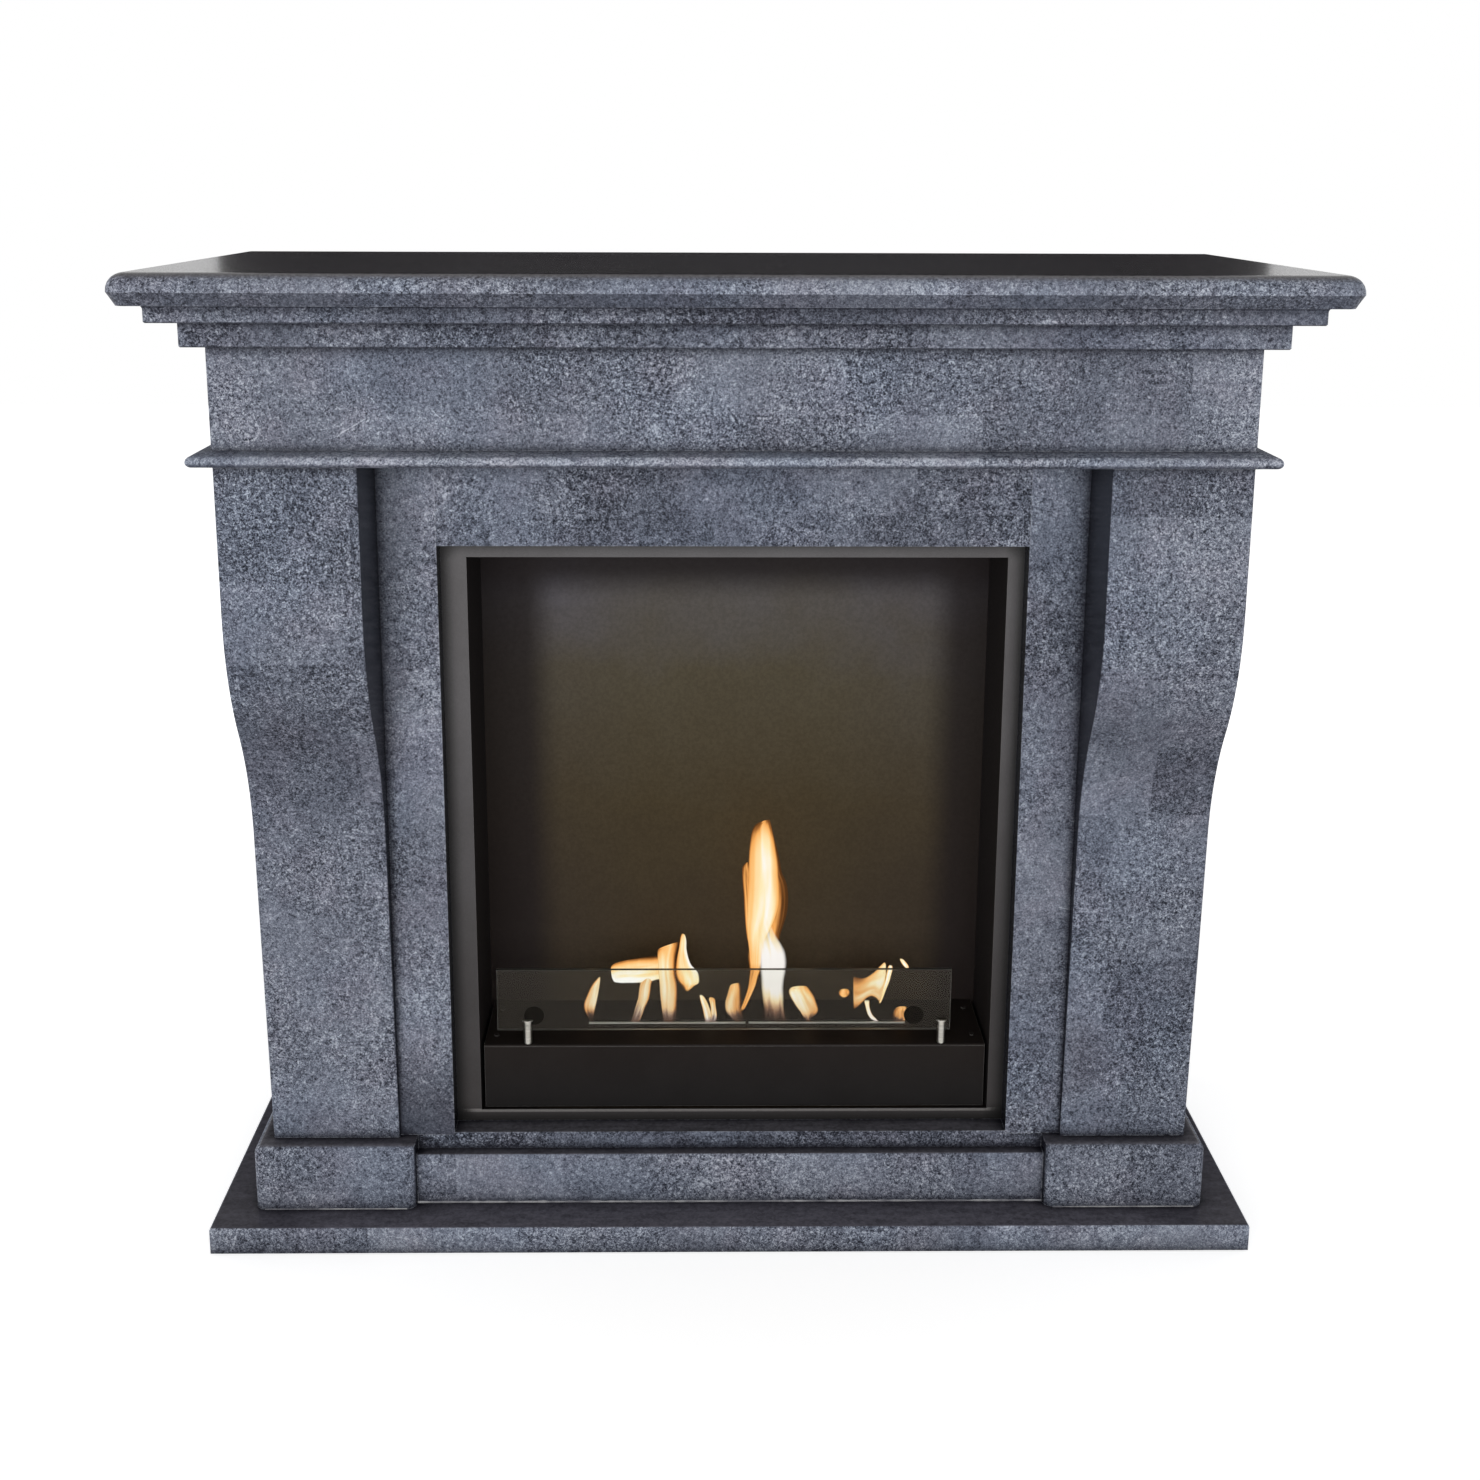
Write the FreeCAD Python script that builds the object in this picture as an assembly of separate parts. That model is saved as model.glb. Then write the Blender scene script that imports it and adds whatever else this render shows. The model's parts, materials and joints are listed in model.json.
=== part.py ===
import FreeCAD, Part
import math
import os

# Ethanol fireplace: a stone mantel surround on a hearth slab, with a black steel insert
# that holds a burner tray, two flame slots with sliding dampers, and a glass screen.
# Millimetres, +Z up, front towards -Y, wall behind at +Y, origin on the floor under the middle.

# Shelf and the mouldings under it, which return along both sides with the same projection
shelf_width = 1150.0
shelf_depth = 480.0
shelf_thickness = 30.0
shelf_nose = 17.0
shelf_undercut = 8.0
nose_share = 0.42  # height of the nose's tip, of the shelf's thickness
corner_flat = 3.0  # the shelf's corners are rounder in plan than its nose is deep
cornice_upper_inset = 28.7
cornice_upper_height = 17.0
cove_radius = 4.5
cornice_lower_inset = 24.0
cornice_lower_height = 24.5
frieze_inset = 19.0
frieze_height = 100.0
astragal_projection = 20.0
astragal_height = 17.0
astragal_nose = 6.0
astragal_top_fall = 3.0
astragal_bottom_rise = 2.5
arris = 1.2  # worn edge of the sawn stone

# Stone slabs, legs and base
slab = 25.0
pilaster_width = 138.5
pilaster_depth = 91.8  # head of the leg, in front of the face round the opening
pilaster_height = 762.0
pilaster_head = 146.0  # straight stretch above the scroll
scroll_height = 270.0
knee_projection = 19.5  # in front of the recess face, at the foot of the scroll
foot_projection = 5.5
pilaster_round = 2.5
plinth_height = 74.0
plinth_projection = 27.0
plinth_outer_overhang = 18.5
plinth_inner_overhang = 19.0
plinth_round = 10.0
hearth_side_lip = 41.5  # beyond the plinths
hearth_front_lip = 36.0
hearth_thickness = 30.0
hearth_round = 2.5
fender_height = 58.0
fender_thickness = 14.5
fender_round = 3.0

# Opening in the stone
opening_width = 610.0
header_height = 96.0
sill_rise = 3.0  # sill above the plinth tops

# Steel insert, which hangs behind the stone
insert_shift = 5.0  # the insert stands a little to the right in its opening
side_bar = 22.0
top_bar = 17.0
bottom_bar = 13.0
flange_lap = 28.0
sheet = 2.0
firebox_depth = 112.5
floor_drop = 2.0
roof_rise = 3.0
bearer_width = 60.0
bearer_inset = 73.0  # bearer's middle, from the firebox's side
bearer_depth = 90.0

# Burner tray
tray_gap = 4.0
tray_front_gap = 3.0
tray_rear_gap = 2.0
tray_height = 75.0
tray_sheet = 1.5
cover_thickness = 2.0
cover_round = 0.8
ear_width = 20.0
foot_height = 3.0
foot_radius = 8.0
foot_inset = 30.0

# Burner under the cover, with two flame slots end to end
burner_shift = 15.0
slot_length = 179.0
slot_bridge = 3.5
slot_width = 9.3
slot_setback = 49.7  # tray front to slot front
burner_sheet = 1.5
guide_height = 3.5
guide_width = 6.0
plate_front_margin = 38.0
plate_rear_margin = 30.0
reservoir_side_margin = 2.0
reservoir_front_margin = 24.0
reservoir_rear_margin = 24.0
reservoir_height = 62.0
wool_gap = 0.5
wool_drop = 3.0

# Sliding dampers, shown fully open
damper_depth = 32.0
damper_sheet = 1.5
damper_lift = 0.3
damper_side_gap = 0.5
lip_clear = 0.3  # lip to the slot's edges at both ends of its travel
lip_rise = 1.5

# Glass screen and its two posts
glass_height = 72.0
glass_thickness = 4.0
glass_clear = 0.3
glass_overhang = 21.5
glass_shift = -12.0  # the pane sits a little to the left in its posts
pad_radius = 11.0
pad_thickness = 1.0
pad_inset = 40.5
pad_rise = 16.0
post_inset = 48.5
post_setback = 5.6
post_radius = 4.5
post_height = 28.5
post_seat = 15.7
post_rear_lip = 3.0
cap_radius = 6.3
cap_thickness = 1.6
spigot_radius = 2.0
spigot_tail = 6.0
nut_flats = 6.0
nut_height = 3.0
clamp_radius = 1.5
clamp_rise = 6.0  # above the slot's floor
clamp_stickout = 0.7
clamp_socket_radius = 0.8

# Rail for the wall screws, at the back
rail_height = 40.0
rail_thickness = 4.0
rail_drop = 60.0  # rail top below the leg tops
wall_hole_inset = 78.3  # from the rail's ends
wall_hole_radius = 4.5
bracket_leg = 40.0

# Screws
stone_screw_radius = 2.5
stone_screw_head_radius = 5.0
stone_screw_head = 2.5
stone_screw_bite = 14.0
cover_screw_radius = 1.5
cover_screw_head_radius = 2.75
cover_screw_head = 1.4
cover_screw_tail = 3.0
cover_screw_inset = 22.0
hole_clear = 0.15
flange_screw_shares = (0.12, 0.5, 0.88)  # of the flange's height
bracket_screw_shares = (0.25, 0.75)  # of the rail's height
overrun = 1.0  # how far a cutting body runs past a face
touch = 0.01  # coordinates closer than this are the same place
diagonal_share = math.sqrt(0.5)  # of a radius, at the middle of a quarter turn
inset_share = 1 - diagonal_share
hexagon_share = 1 / math.sqrt(3)  # middle to corner, of the width across flats

# Levels, from the floor up
hearth_top = hearth_thickness
plinth_top = hearth_top + plinth_height
leg_top = plinth_top + pilaster_height
astragal_top = leg_top + astragal_height
frieze_top = astragal_top + frieze_height
lower_top = frieze_top + cornice_lower_height
upper_top = lower_top + cornice_upper_height
shelf_top = upper_top + shelf_thickness
sill_top = plinth_top + sill_rise
opening_top = leg_top - header_height

# Places across and in depth
wall = shelf_depth / 2
shelf_half = shelf_width / 2
shelf_front = -shelf_depth / 2
shelf_corner = shelf_nose + corner_flat
upper_half = shelf_half - cornice_upper_inset
upper_front = shelf_front + cornice_upper_inset
lower_half = upper_half - cornice_lower_inset
lower_front = upper_front + cornice_lower_inset
leg_outer = lower_half - frieze_inset
frieze_front = lower_front + frieze_inset
leg_inner = leg_outer - pilaster_width
side_inner = leg_outer - slab
recess = frieze_front + pilaster_depth
panel_back = recess + slab
plinth_inner = leg_inner - plinth_inner_overhang
plinth_outer = leg_outer + plinth_outer_overhang
opening_half = opening_width / 2

# Insert
flange_back = panel_back + sheet
insert_left = insert_shift - opening_half + side_bar
insert_right = insert_shift + opening_half - side_bar
insert_bottom = sill_top + bottom_bar
insert_top = opening_top - top_bar
flange_left = insert_shift - opening_half - flange_lap
flange_right = insert_shift + opening_half + flange_lap
flange_bottom = sill_top - flange_lap
flange_top = opening_top + flange_lap
firebox_rear = flange_back + firebox_depth
floor_top = insert_bottom - floor_drop
roof_bottom = insert_top + roof_rise

# Tray and burner
tray_left = insert_left + tray_gap
tray_right = insert_right - tray_gap
tray_front = flange_back + tray_front_gap
tray_rear = firebox_rear - tray_rear_gap
tray_bottom = floor_top + foot_height
tray_top = tray_bottom + tray_height
cover_bottom = tray_top - cover_thickness
burner_middle = insert_shift + burner_shift
slot_front = tray_front + slot_setback
slot_rear = slot_front + slot_width
slot_outer = slot_bridge / 2 + slot_length  # from the burner's middle
plate_top = cover_bottom - guide_height
plate_bottom = plate_top - burner_sheet
lip_front = slot_front + lip_clear
lip_rear = lip_front + damper_sheet

# Glass
post_spacing = tray_right - tray_left - 2 * post_inset
post_y = tray_front + post_setback
post_top = tray_top + post_height
seat = tray_top + post_seat
glass_middle = insert_shift + glass_shift
glass_half = post_spacing / 2 + glass_overhang
glass_front = post_y - glass_thickness / 2
glass_rear = post_y + glass_thickness / 2
glass_bottom = seat + glass_clear

rail_top = leg_top - rail_drop
rail_bottom = rail_top - rail_height
rail_front = wall - rail_thickness

AXIS_X = FreeCAD.Vector(1, 0, 0)
AXIS_Y = FreeCAD.Vector(0, 1, 0)
AXIS_Z = FreeCAD.Vector(0, 0, 1)
ORIGIN = FreeCAD.Vector(0, 0, 0)


def vec(x, y, z):
    return FreeCAD.Vector(x, y, z)


def box(x, y, z):
    # each argument is a pair, low and high
    size = (x[1] - x[0], y[1] - y[0], z[1] - z[0])
    return Part.makeBox(*size, vec(x[0], y[0], z[0]))


def rod(radius, start, end):
    along = end - start
    return Part.makeCylinder(radius, along.Length, start, along)


def mirrored(shape):
    return shape.mirror(ORIGIN, AXIS_X)


def profile_face(start, runs, place):
    # a run is an end point, or a pair of points for an arc: through and end
    edges = []
    here = start
    for run in runs:
        if isinstance(run[0], tuple):
            through, end = run
            edges.append(Part.Arc(place(*here), place(*through), place(*end)).toShape())
        else:
            end = run
            edges.append(Part.makeLine(place(*here), place(*end)))
        here = end
    edges.append(Part.makeLine(place(*here), place(*start)))
    return Part.Face(Part.Wire(edges))


def wedge(plan, levels):
    # an upright block over a triangle
    ring = [vec(x, y, levels[0]) for x, y in plan]
    return Part.Face(Part.makePolygon(ring + ring[:1])).extrude(AXIS_Z * (levels[1] - levels[0]))


def moulded_board(half_width, front, start, runs, corner=None):
    # one edge profile, (inset, level) from bottom to top, runs along the front and both sides,
    # and meets at the front corners in a mitre or, with a plan radius, goes round them
    ends = [run[1] if isinstance(run[0], tuple) else run for run in runs]
    bottom, top = start[1], ends[-1][1]
    reach = corner or 2 * max(inset for inset, level in [start, *ends])
    inner = half_width - reach
    rear = front + reach

    def front_section(x):
        place = lambda inset, level: vec(x, front + inset, level)
        return profile_face((reach, bottom), [start, *runs, (reach, top)], place)

    def side_section(y):
        place = lambda inset, level: vec(half_width - inset, y, level)
        return profile_face((reach, bottom), [start, *runs, (reach, top)], place)

    front_run = front_section(-inner).extrude(AXIS_X * (inner * 2))
    right = [side_section(rear).extrude(AXIS_Y * (wall - rear))]
    if corner:
        right.append(side_section(rear).revolve(vec(inner, rear, bottom), AXIS_Z, -90))
    else:
        tip, heel = (half_width, front), (inner, rear)
        beside = wedge([tip, (half_width, rear), heel], (bottom, top))
        before = wedge([tip, heel, (inner, front)], (bottom, top))
        right.append(front_section(inner).extrude(AXIS_X * reach).cut(beside))
        right.append(side_section(front).extrude(AXIS_Y * reach).cut(before))
    core = box((-inner, inner), (rear, wall), (bottom, top))
    return core.fuse([front_run, *right, *map(mirrored, right)]).removeSplitter()


def rounded(shape, radius, chosen):
    return shape.makeFillet(radius, [edge for edge in shape.Edges if chosen(edge)])


def lies_at(edge, axis, value):
    # every vertex of the edge has this coordinate
    return all(abs(getattr(vertex, axis) - value) < touch for vertex in edge.Vertexes)


def stone_screw(head_face, towards):
    # head on the steel, shank into the stone
    tip = head_face + towards * (sheet + stone_screw_bite)
    head_end = head_face - towards * stone_screw_head
    return rod(stone_screw_radius, head_face, tip).fuse(rod(stone_screw_head_radius, head_end, head_face))


def stone_hole(head_face, towards):
    tip = head_face + towards * (sheet + stone_screw_bite + hole_clear)
    return rod(stone_screw_radius + hole_clear, head_face, tip)


nodes = {}

# Mantel shelf: a rounded nose above, cut back straight under it to a flat soffit
nose_middle = upper_top + shelf_thickness * nose_share
nose_height = shelf_top - nose_middle
nodes["mantel_shelf"] = moulded_board(
    shelf_half,
    shelf_front,
    (shelf_undercut, upper_top),
    [
        (0.0, nose_middle),
        ((shelf_nose * inset_share, nose_middle + nose_height * diagonal_share), (shelf_nose, shelf_top)),
    ],
    shelf_corner,
)

# Cornice: two square steps, the upper one with a cove against the shelf
cove_start = upper_top - cove_radius
cove_through = cove_radius * diagonal_share
nodes["cornice_upper"] = moulded_board(
    upper_half + cove_radius,
    upper_front - cove_radius,
    (cove_radius + arris, lower_top),
    [
        (cove_radius, lower_top + arris),
        (cove_radius, cove_start),
        ((cove_through, cove_start + cove_through), (0.0, upper_top)),
    ],
)
nodes["cornice_lower"] = moulded_board(
    lower_half,
    lower_front,
    (arris, frieze_top),
    [(0.0, frieze_top + arris), (0.0, lower_top)],
)

# Frieze: one front slab and two returns, on the astragal board
frieze_levels = (astragal_top, frieze_top)
frieze_rear = frieze_front + slab
nodes["frieze_front"] = rounded(
    box((-leg_outer, leg_outer), (frieze_front, frieze_rear), frieze_levels),
    arris,
    lambda edge: lies_at(edge, "Y", frieze_front) and not lies_at(edge, "Z", astragal_top)
    and not lies_at(edge, "Z", frieze_top),
)
nodes["frieze_return_right"] = box((side_inner, leg_outer), (frieze_rear, wall), frieze_levels)
nodes["frieze_return_left"] = mirrored(nodes["frieze_return_right"])

# Astragal: a half-round nose between two slopes
bead_bottom = leg_top + astragal_bottom_rise
bead_top = astragal_top - astragal_top_fall
bead_middle = (bead_bottom + bead_top) / 2
bead_rise = (bead_top - bead_bottom) / 2 * diagonal_share
bead_inset = astragal_nose * inset_share
nodes["astragal_board"] = moulded_board(
    leg_outer + astragal_projection,
    frieze_front - astragal_projection,
    (astragal_projection, leg_top),
    [
        (astragal_nose, bead_bottom),
        ((bead_inset, bead_middle - bead_rise), (0.0, bead_middle)),
        ((bead_inset, bead_middle + bead_rise), (astragal_nose, bead_top)),
        (astragal_projection, astragal_top),
    ],
)


def pilaster():
    # straight head, a scroll of two equal tangent arcs, then a leg that leans back to its foot
    knee = recess - knee_projection
    head_end = leg_top - pilaster_head
    knee_level = head_end - scroll_height
    drop = knee - frieze_front
    radius = (drop ** 2 + scroll_height ** 2) / (4 * drop)
    half_turn = math.asin(scroll_height / 2 / radius) / 2
    rise = radius * math.sin(half_turn)
    sag = radius * (1 - math.cos(half_turn))
    middle = ((frieze_front + knee) / 2, (head_end + knee_level) / 2)
    face = profile_face(
        (recess, plinth_top),
        [
            (recess - foot_projection, plinth_top),
            (knee, knee_level),
            ((knee - sag, knee_level + rise), middle),
            ((frieze_front + sag, head_end - rise), (frieze_front, head_end)),
            (frieze_front, leg_top),
            (recess, leg_top),
        ],
        lambda y, z: vec(leg_inner, y, z),
    )
    block = face.extrude(AXIS_X * pilaster_width)
    return rounded(block, pilaster_round, front_arris)


def front_arris(edge):
    # the edges that run up the front of the leg, on both of its sides
    sides = lies_at(edge, "X", leg_inner) or lies_at(edge, "X", leg_outer)
    ends = lies_at(edge, "Z", leg_top) or lies_at(edge, "Z", plinth_top)
    return sides and not ends and not lies_at(edge, "Y", recess)


nodes["pilaster_right"] = pilaster()
nodes["pilaster_left"] = mirrored(nodes["pilaster_right"])

# Plinths, fender and hearth
plinth_front = recess - plinth_projection
nodes["plinth_right"] = rounded(
    box((plinth_inner, plinth_outer), (plinth_front, wall), (hearth_top, plinth_top)),
    plinth_round,
    lambda edge: not lies_at(edge, "Y", wall) and not lies_at(edge, "Z", hearth_top)
    and (lies_at(edge, "Y", plinth_front) or not lies_at(edge, "X", plinth_inner)),
)
nodes["plinth_left"] = mirrored(nodes["plinth_right"])
fender_front = recess - fender_thickness
fender_top = hearth_top + fender_height
nodes["fender_rail"] = rounded(
    box((-plinth_inner, plinth_inner), (fender_front, recess), (hearth_top, fender_top)),
    fender_round,
    lambda edge: lies_at(edge, "Y", fender_front) and lies_at(edge, "Z", fender_top),
)
hearth_half = plinth_outer + hearth_side_lip
nodes["hearth_slab"] = rounded(
    box((-hearth_half, hearth_half), (plinth_front - hearth_front_lip, wall), (0.0, hearth_top)),
    hearth_round,
    lambda edge: lies_at(edge, "Z", hearth_top) and not lies_at(edge, "Y", wall),
)

# Face round the opening
flange_height = flange_top - flange_bottom
screw_levels = [flange_bottom + share * flange_height for share in flange_screw_shares]
screw_columns = ((flange_left - opening_half) / 2, (flange_right + opening_half) / 2)
flange_seats = {
    column: [vec(column, flange_back, level) for level in screw_levels] for column in screw_columns
}


def jamb(x, column):
    stone = box(x, (recess, panel_back), (plinth_top, leg_top))
    for seat_point in flange_seats[column]:
        stone = stone.cut(stone_hole(seat_point, -AXIS_Y))
    return stone


nodes["jamb_left"] = jamb((-leg_outer, -opening_half), screw_columns[0])
nodes["jamb_right"] = jamb((opening_half, leg_outer), screw_columns[1])
nodes["header_panel"] = box((-opening_half, opening_half), (recess, panel_back), (opening_top, leg_top))
nodes["sill_rail"] = (
    box((-plinth_inner, plinth_inner), (recess, panel_back), (hearth_top, plinth_top))
    .fuse(box((-opening_half, opening_half), (recess, panel_back), (plinth_top, sill_top)))
    .removeSplitter()
)

# Sides, and the steel rail that takes the wall screws
bracket_front = rail_front - bracket_leg
bracket_seats = [
    vec(side_inner - sheet, (bracket_front + rail_front) / 2, rail_bottom + share * rail_height)
    for share in bracket_screw_shares
]
side_panel = box((side_inner, leg_outer), (panel_back, wall), (plinth_top, leg_top))
for seat_point in bracket_seats:
    side_panel = side_panel.cut(stone_hole(seat_point, AXIS_X))
nodes["side_panel_right"] = side_panel
nodes["side_panel_left"] = mirrored(side_panel)

rail_levels = (rail_bottom, rail_top)
rail_middle = (rail_bottom + rail_top) / 2
wall_rail = box((-side_inner, side_inner), (rail_front, wall), rail_levels)
wall_hole_reach = side_inner - wall_hole_inset
for x in (-wall_hole_reach, wall_hole_reach):
    wall_rail = wall_rail.cut(
        rod(wall_hole_radius, vec(x, rail_front - overrun, rail_middle), vec(x, wall + overrun, rail_middle))
    )
nodes["wall_rail"] = wall_rail
bracket = box((side_inner - sheet, side_inner), (bracket_front, rail_front), rail_levels).fuse(
    box((side_inner - bracket_leg, side_inner - sheet), (rail_front - sheet, rail_front), rail_levels)
).removeSplitter()
bracket_screws = []
for seat_point in bracket_seats:
    bracket = bracket.cut(stone_hole(seat_point, AXIS_X))
    bracket_screws.append(stone_screw(seat_point, AXIS_X))
nodes["rail_bracket_right"] = bracket
nodes["rail_bracket_left"] = mirrored(bracket)
nodes["bracket_screws"] = Part.makeCompound(bracket_screws + [mirrored(screw) for screw in bracket_screws])

# Insert: trim flange behind the stone, and a firebox of five sheets on it
flange = box((flange_left, flange_right), (panel_back, flange_back), (flange_bottom, flange_top)).cut(
    box(
        (insert_left, insert_right),
        (panel_back - overrun, flange_back + overrun),
        (insert_bottom, insert_top),
    )
)
flange_screws = []
for seats in flange_seats.values():
    for seat_point in seats:
        flange = flange.cut(stone_hole(seat_point, -AXIS_Y))
        flange_screws.append(stone_screw(seat_point, -AXIS_Y))
nodes["insert_flange"] = flange
nodes["flange_screws"] = Part.makeCompound(flange_screws)
firebox_y = (flange_back, firebox_rear)
firebox_z = (floor_top - sheet, roof_bottom + sheet)
nodes["firebox_wall_left"] = box((insert_left - sheet, insert_left), firebox_y, firebox_z)
nodes["firebox_wall_right"] = box((insert_right, insert_right + sheet), firebox_y, firebox_z)
nodes["firebox_floor"] = box((insert_left, insert_right), firebox_y, (floor_top - sheet, floor_top))
nodes["firebox_roof"] = box((insert_left, insert_right), firebox_y, (roof_bottom, roof_bottom + sheet))
nodes["firebox_back"] = box(
    (insert_left - sheet, insert_right + sheet), (firebox_rear, firebox_rear + sheet), firebox_z
)
for name, middle in (("left", insert_left + bearer_inset), ("right", insert_right - bearer_inset)):
    nodes["insert_bearer_" + name] = box(
        (middle - bearer_width / 2, middle + bearer_width / 2),
        (firebox_rear - bearer_depth, firebox_rear),
        (hearth_top, floor_top - sheet),
    )

# Burner tray: an open box with an ear at each end, on four feet
inside_x = (tray_left + tray_sheet, tray_right - tray_sheet)
inside_y = (tray_front + tray_sheet, tray_rear - tray_sheet)
tray = box((tray_left, tray_right), (tray_front, tray_rear), (tray_bottom, cover_bottom)).cut(
    box(inside_x, inside_y, (tray_bottom + tray_sheet, cover_bottom + overrun))
)
ear_levels = (cover_bottom - tray_sheet, cover_bottom)
tray = tray.fuse(box((inside_x[0], inside_x[0] + ear_width), inside_y, ear_levels))
tray = tray.fuse(box((inside_x[1] - ear_width, inside_x[1]), inside_y, ear_levels)).removeSplitter()
cover = rounded(
    box((tray_left, tray_right), (tray_front, tray_rear), (cover_bottom, tray_top)),
    cover_round,
    lambda edge: lies_at(edge, "Y", tray_front) and lies_at(edge, "Z", tray_top),
)
cover_screws = []
feet = []
for x in (inside_x[0] + ear_width / 2, inside_x[1] - ear_width / 2):
    for y in (tray_front + cover_screw_inset, tray_rear - cover_screw_inset):
        tip = vec(x, y, cover_bottom - tray_sheet - cover_screw_tail)
        head_face = vec(x, y, tray_top)
        head_end = head_face + AXIS_Z * cover_screw_head
        hole = rod(cover_screw_radius + hole_clear, tip, head_face + AXIS_Z * overrun)
        tray = tray.cut(hole)
        cover = cover.cut(hole)
        cover_screws.append(
            rod(cover_screw_radius, tip, head_face).fuse(rod(cover_screw_head_radius, head_face, head_end))
        )
for x in (tray_left + foot_inset, tray_right - foot_inset):
    for y in (tray_front + foot_inset, tray_rear - foot_inset):
        feet.append(rod(foot_radius, vec(x, y, floor_top), vec(x, y, tray_bottom)))
nodes["burner_tray"] = tray
nodes["cover_screws"] = Part.makeCompound(cover_screws)
nodes["tray_feet"] = Part.makeCompound(feet)

# Two slots, through the cover and the burner's top plate
slot_spans = {
    "left": (burner_middle - slot_outer, burner_middle - slot_bridge / 2),
    "right": (burner_middle + slot_bridge / 2, burner_middle + slot_outer),
}
plate_half = slot_outer + guide_width
plate_y = (slot_front - plate_front_margin, slot_rear + plate_rear_margin)
top_plate = box((burner_middle - plate_half, burner_middle + plate_half), plate_y, (plate_bottom, plate_top))
for span in slot_spans.values():
    window = box(span, (slot_front, slot_rear), (plate_bottom - overrun, tray_top + overrun))
    cover = cover.cut(window)
    top_plate = top_plate.cut(window)
nodes["burner_top_plate"] = top_plate
guide_levels = (plate_top, cover_bottom)
nodes["damper_guides"] = Part.makeCompound(
    [
        box((burner_middle - plate_half, burner_middle - slot_outer), plate_y, guide_levels),
        box((burner_middle - slot_bridge / 2, burner_middle + slot_bridge / 2), plate_y, guide_levels),
        box((burner_middle + slot_outer, burner_middle + plate_half), plate_y, guide_levels),
    ]
)

# Reservoir under the plate, with its ceramic wool
tank_half = slot_outer + reservoir_side_margin
tank_y = (slot_front - reservoir_front_margin, slot_rear + reservoir_rear_margin)
tank_bottom = plate_bottom - reservoir_height
tank_x = (burner_middle - tank_half, burner_middle + tank_half)
wall_in = burner_sheet + wool_gap
nodes["burner_reservoir"] = box(tank_x, tank_y, (tank_bottom, plate_bottom)).cut(
    box(
        (tank_x[0] + burner_sheet, tank_x[1] - burner_sheet),
        (tank_y[0] + burner_sheet, tank_y[1] - burner_sheet),
        (tank_bottom + burner_sheet, plate_bottom + overrun),
    )
)
nodes["ceramic_wool"] = box(
    (tank_x[0] + wall_in, tank_x[1] - wall_in),
    (tank_y[0] + wall_in, tank_y[1] - wall_in),
    (tank_bottom + burner_sheet, plate_bottom - wool_drop),
)

# Dampers: a plate on the burner, its rear edge folded up through the slot as a lip
damper_bottom = plate_top + damper_lift
for name, span in slot_spans.items():
    x = (span[0] + damper_side_gap, span[1] - damper_side_gap)
    plate = box(x, (lip_rear - damper_depth, lip_rear), (damper_bottom, damper_bottom + damper_sheet))
    lip = box(x, (lip_front, lip_rear), (damper_bottom, tray_top + lip_rise))
    nodes["damper_" + name] = plate.fuse(lip).removeSplitter()


def glass_post(x):
    # a capped round post, slotted for the pane, with a low lip behind it
    base = vec(x, post_y, tray_top)
    top = vec(x, post_y, post_top)
    post = rod(post_radius, base, top).fuse(rod(cap_radius, top - AXIS_Z * cap_thickness, top))
    post = post.fuse(rod(spigot_radius, base - AXIS_Z * (cover_thickness + spigot_tail), base))
    reach = (x - cap_radius - overrun, x + cap_radius + overrun)
    slot = (glass_front - glass_clear, glass_rear + glass_clear)
    above = post_top + overrun
    post = post.cut(box(reach, slot, (seat, above)))
    return post.cut(box(reach, (slot[1], post_y + cap_radius + overrun), (seat + post_rear_lip, above)))


post_places = {"left": insert_shift - post_spacing / 2, "right": insert_shift + post_spacing / 2}
clamp_level = seat + clamp_rise
nuts = []
for name, x in post_places.items():
    post = glass_post(x)
    base = vec(x, post_y, tray_top)
    cover = cover.cut(
        rod(spigot_radius + hole_clear, base - AXIS_Z * (cover_thickness + overrun), base + AXIS_Z * overrun)
    )
    corner = nut_flats * hexagon_share
    turns = [math.radians(60 * step) for step in range(6)]
    nut_bottom = cover_bottom - nut_height
    ring = [vec(x + corner * math.cos(t), post_y + corner * math.sin(t), nut_bottom) for t in turns]
    nut = Part.Face(Part.makePolygon(ring + ring[:1])).extrude(AXIS_Z * nut_height)
    bore = rod(spigot_radius + hole_clear, base - AXIS_Z * (cover_thickness + nut_height + overrun), base)
    nuts.append(nut.cut(bore))
    if name == "left":
        outer = vec(x, post_y - post_radius - clamp_stickout, clamp_level)
        inner = vec(x, glass_front - glass_clear, clamp_level)
        post = post.cut(rod(clamp_radius + hole_clear, outer, inner))
        socket_end = outer + AXIS_Y * post_radius / 4
        socket = rod(clamp_socket_radius, outer, socket_end)
        nodes["clamp_screw"] = rod(clamp_radius, outer, inner).cut(socket)
    nodes["glass_post_" + name] = post
nodes["post_nuts"] = Part.makeCompound(nuts)
nodes["tray_cover"] = cover

# Glass pane, with two plain round pads on its rear face
nodes["glass_pane"] = box(
    (glass_middle - glass_half, glass_middle + glass_half),
    (glass_front, glass_rear),
    (glass_bottom, glass_bottom + glass_height),
)
pad_reach = glass_half - pad_inset
nodes["glass_pads"] = Part.makeCompound(
    [
        rod(
            pad_radius,
            vec(x, glass_rear, glass_bottom + pad_rise),
            vec(x, glass_rear + pad_thickness, glass_bottom + pad_rise),
        )
        for x in (glass_middle - pad_reach, glass_middle + pad_reach)
    ]
)

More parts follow.
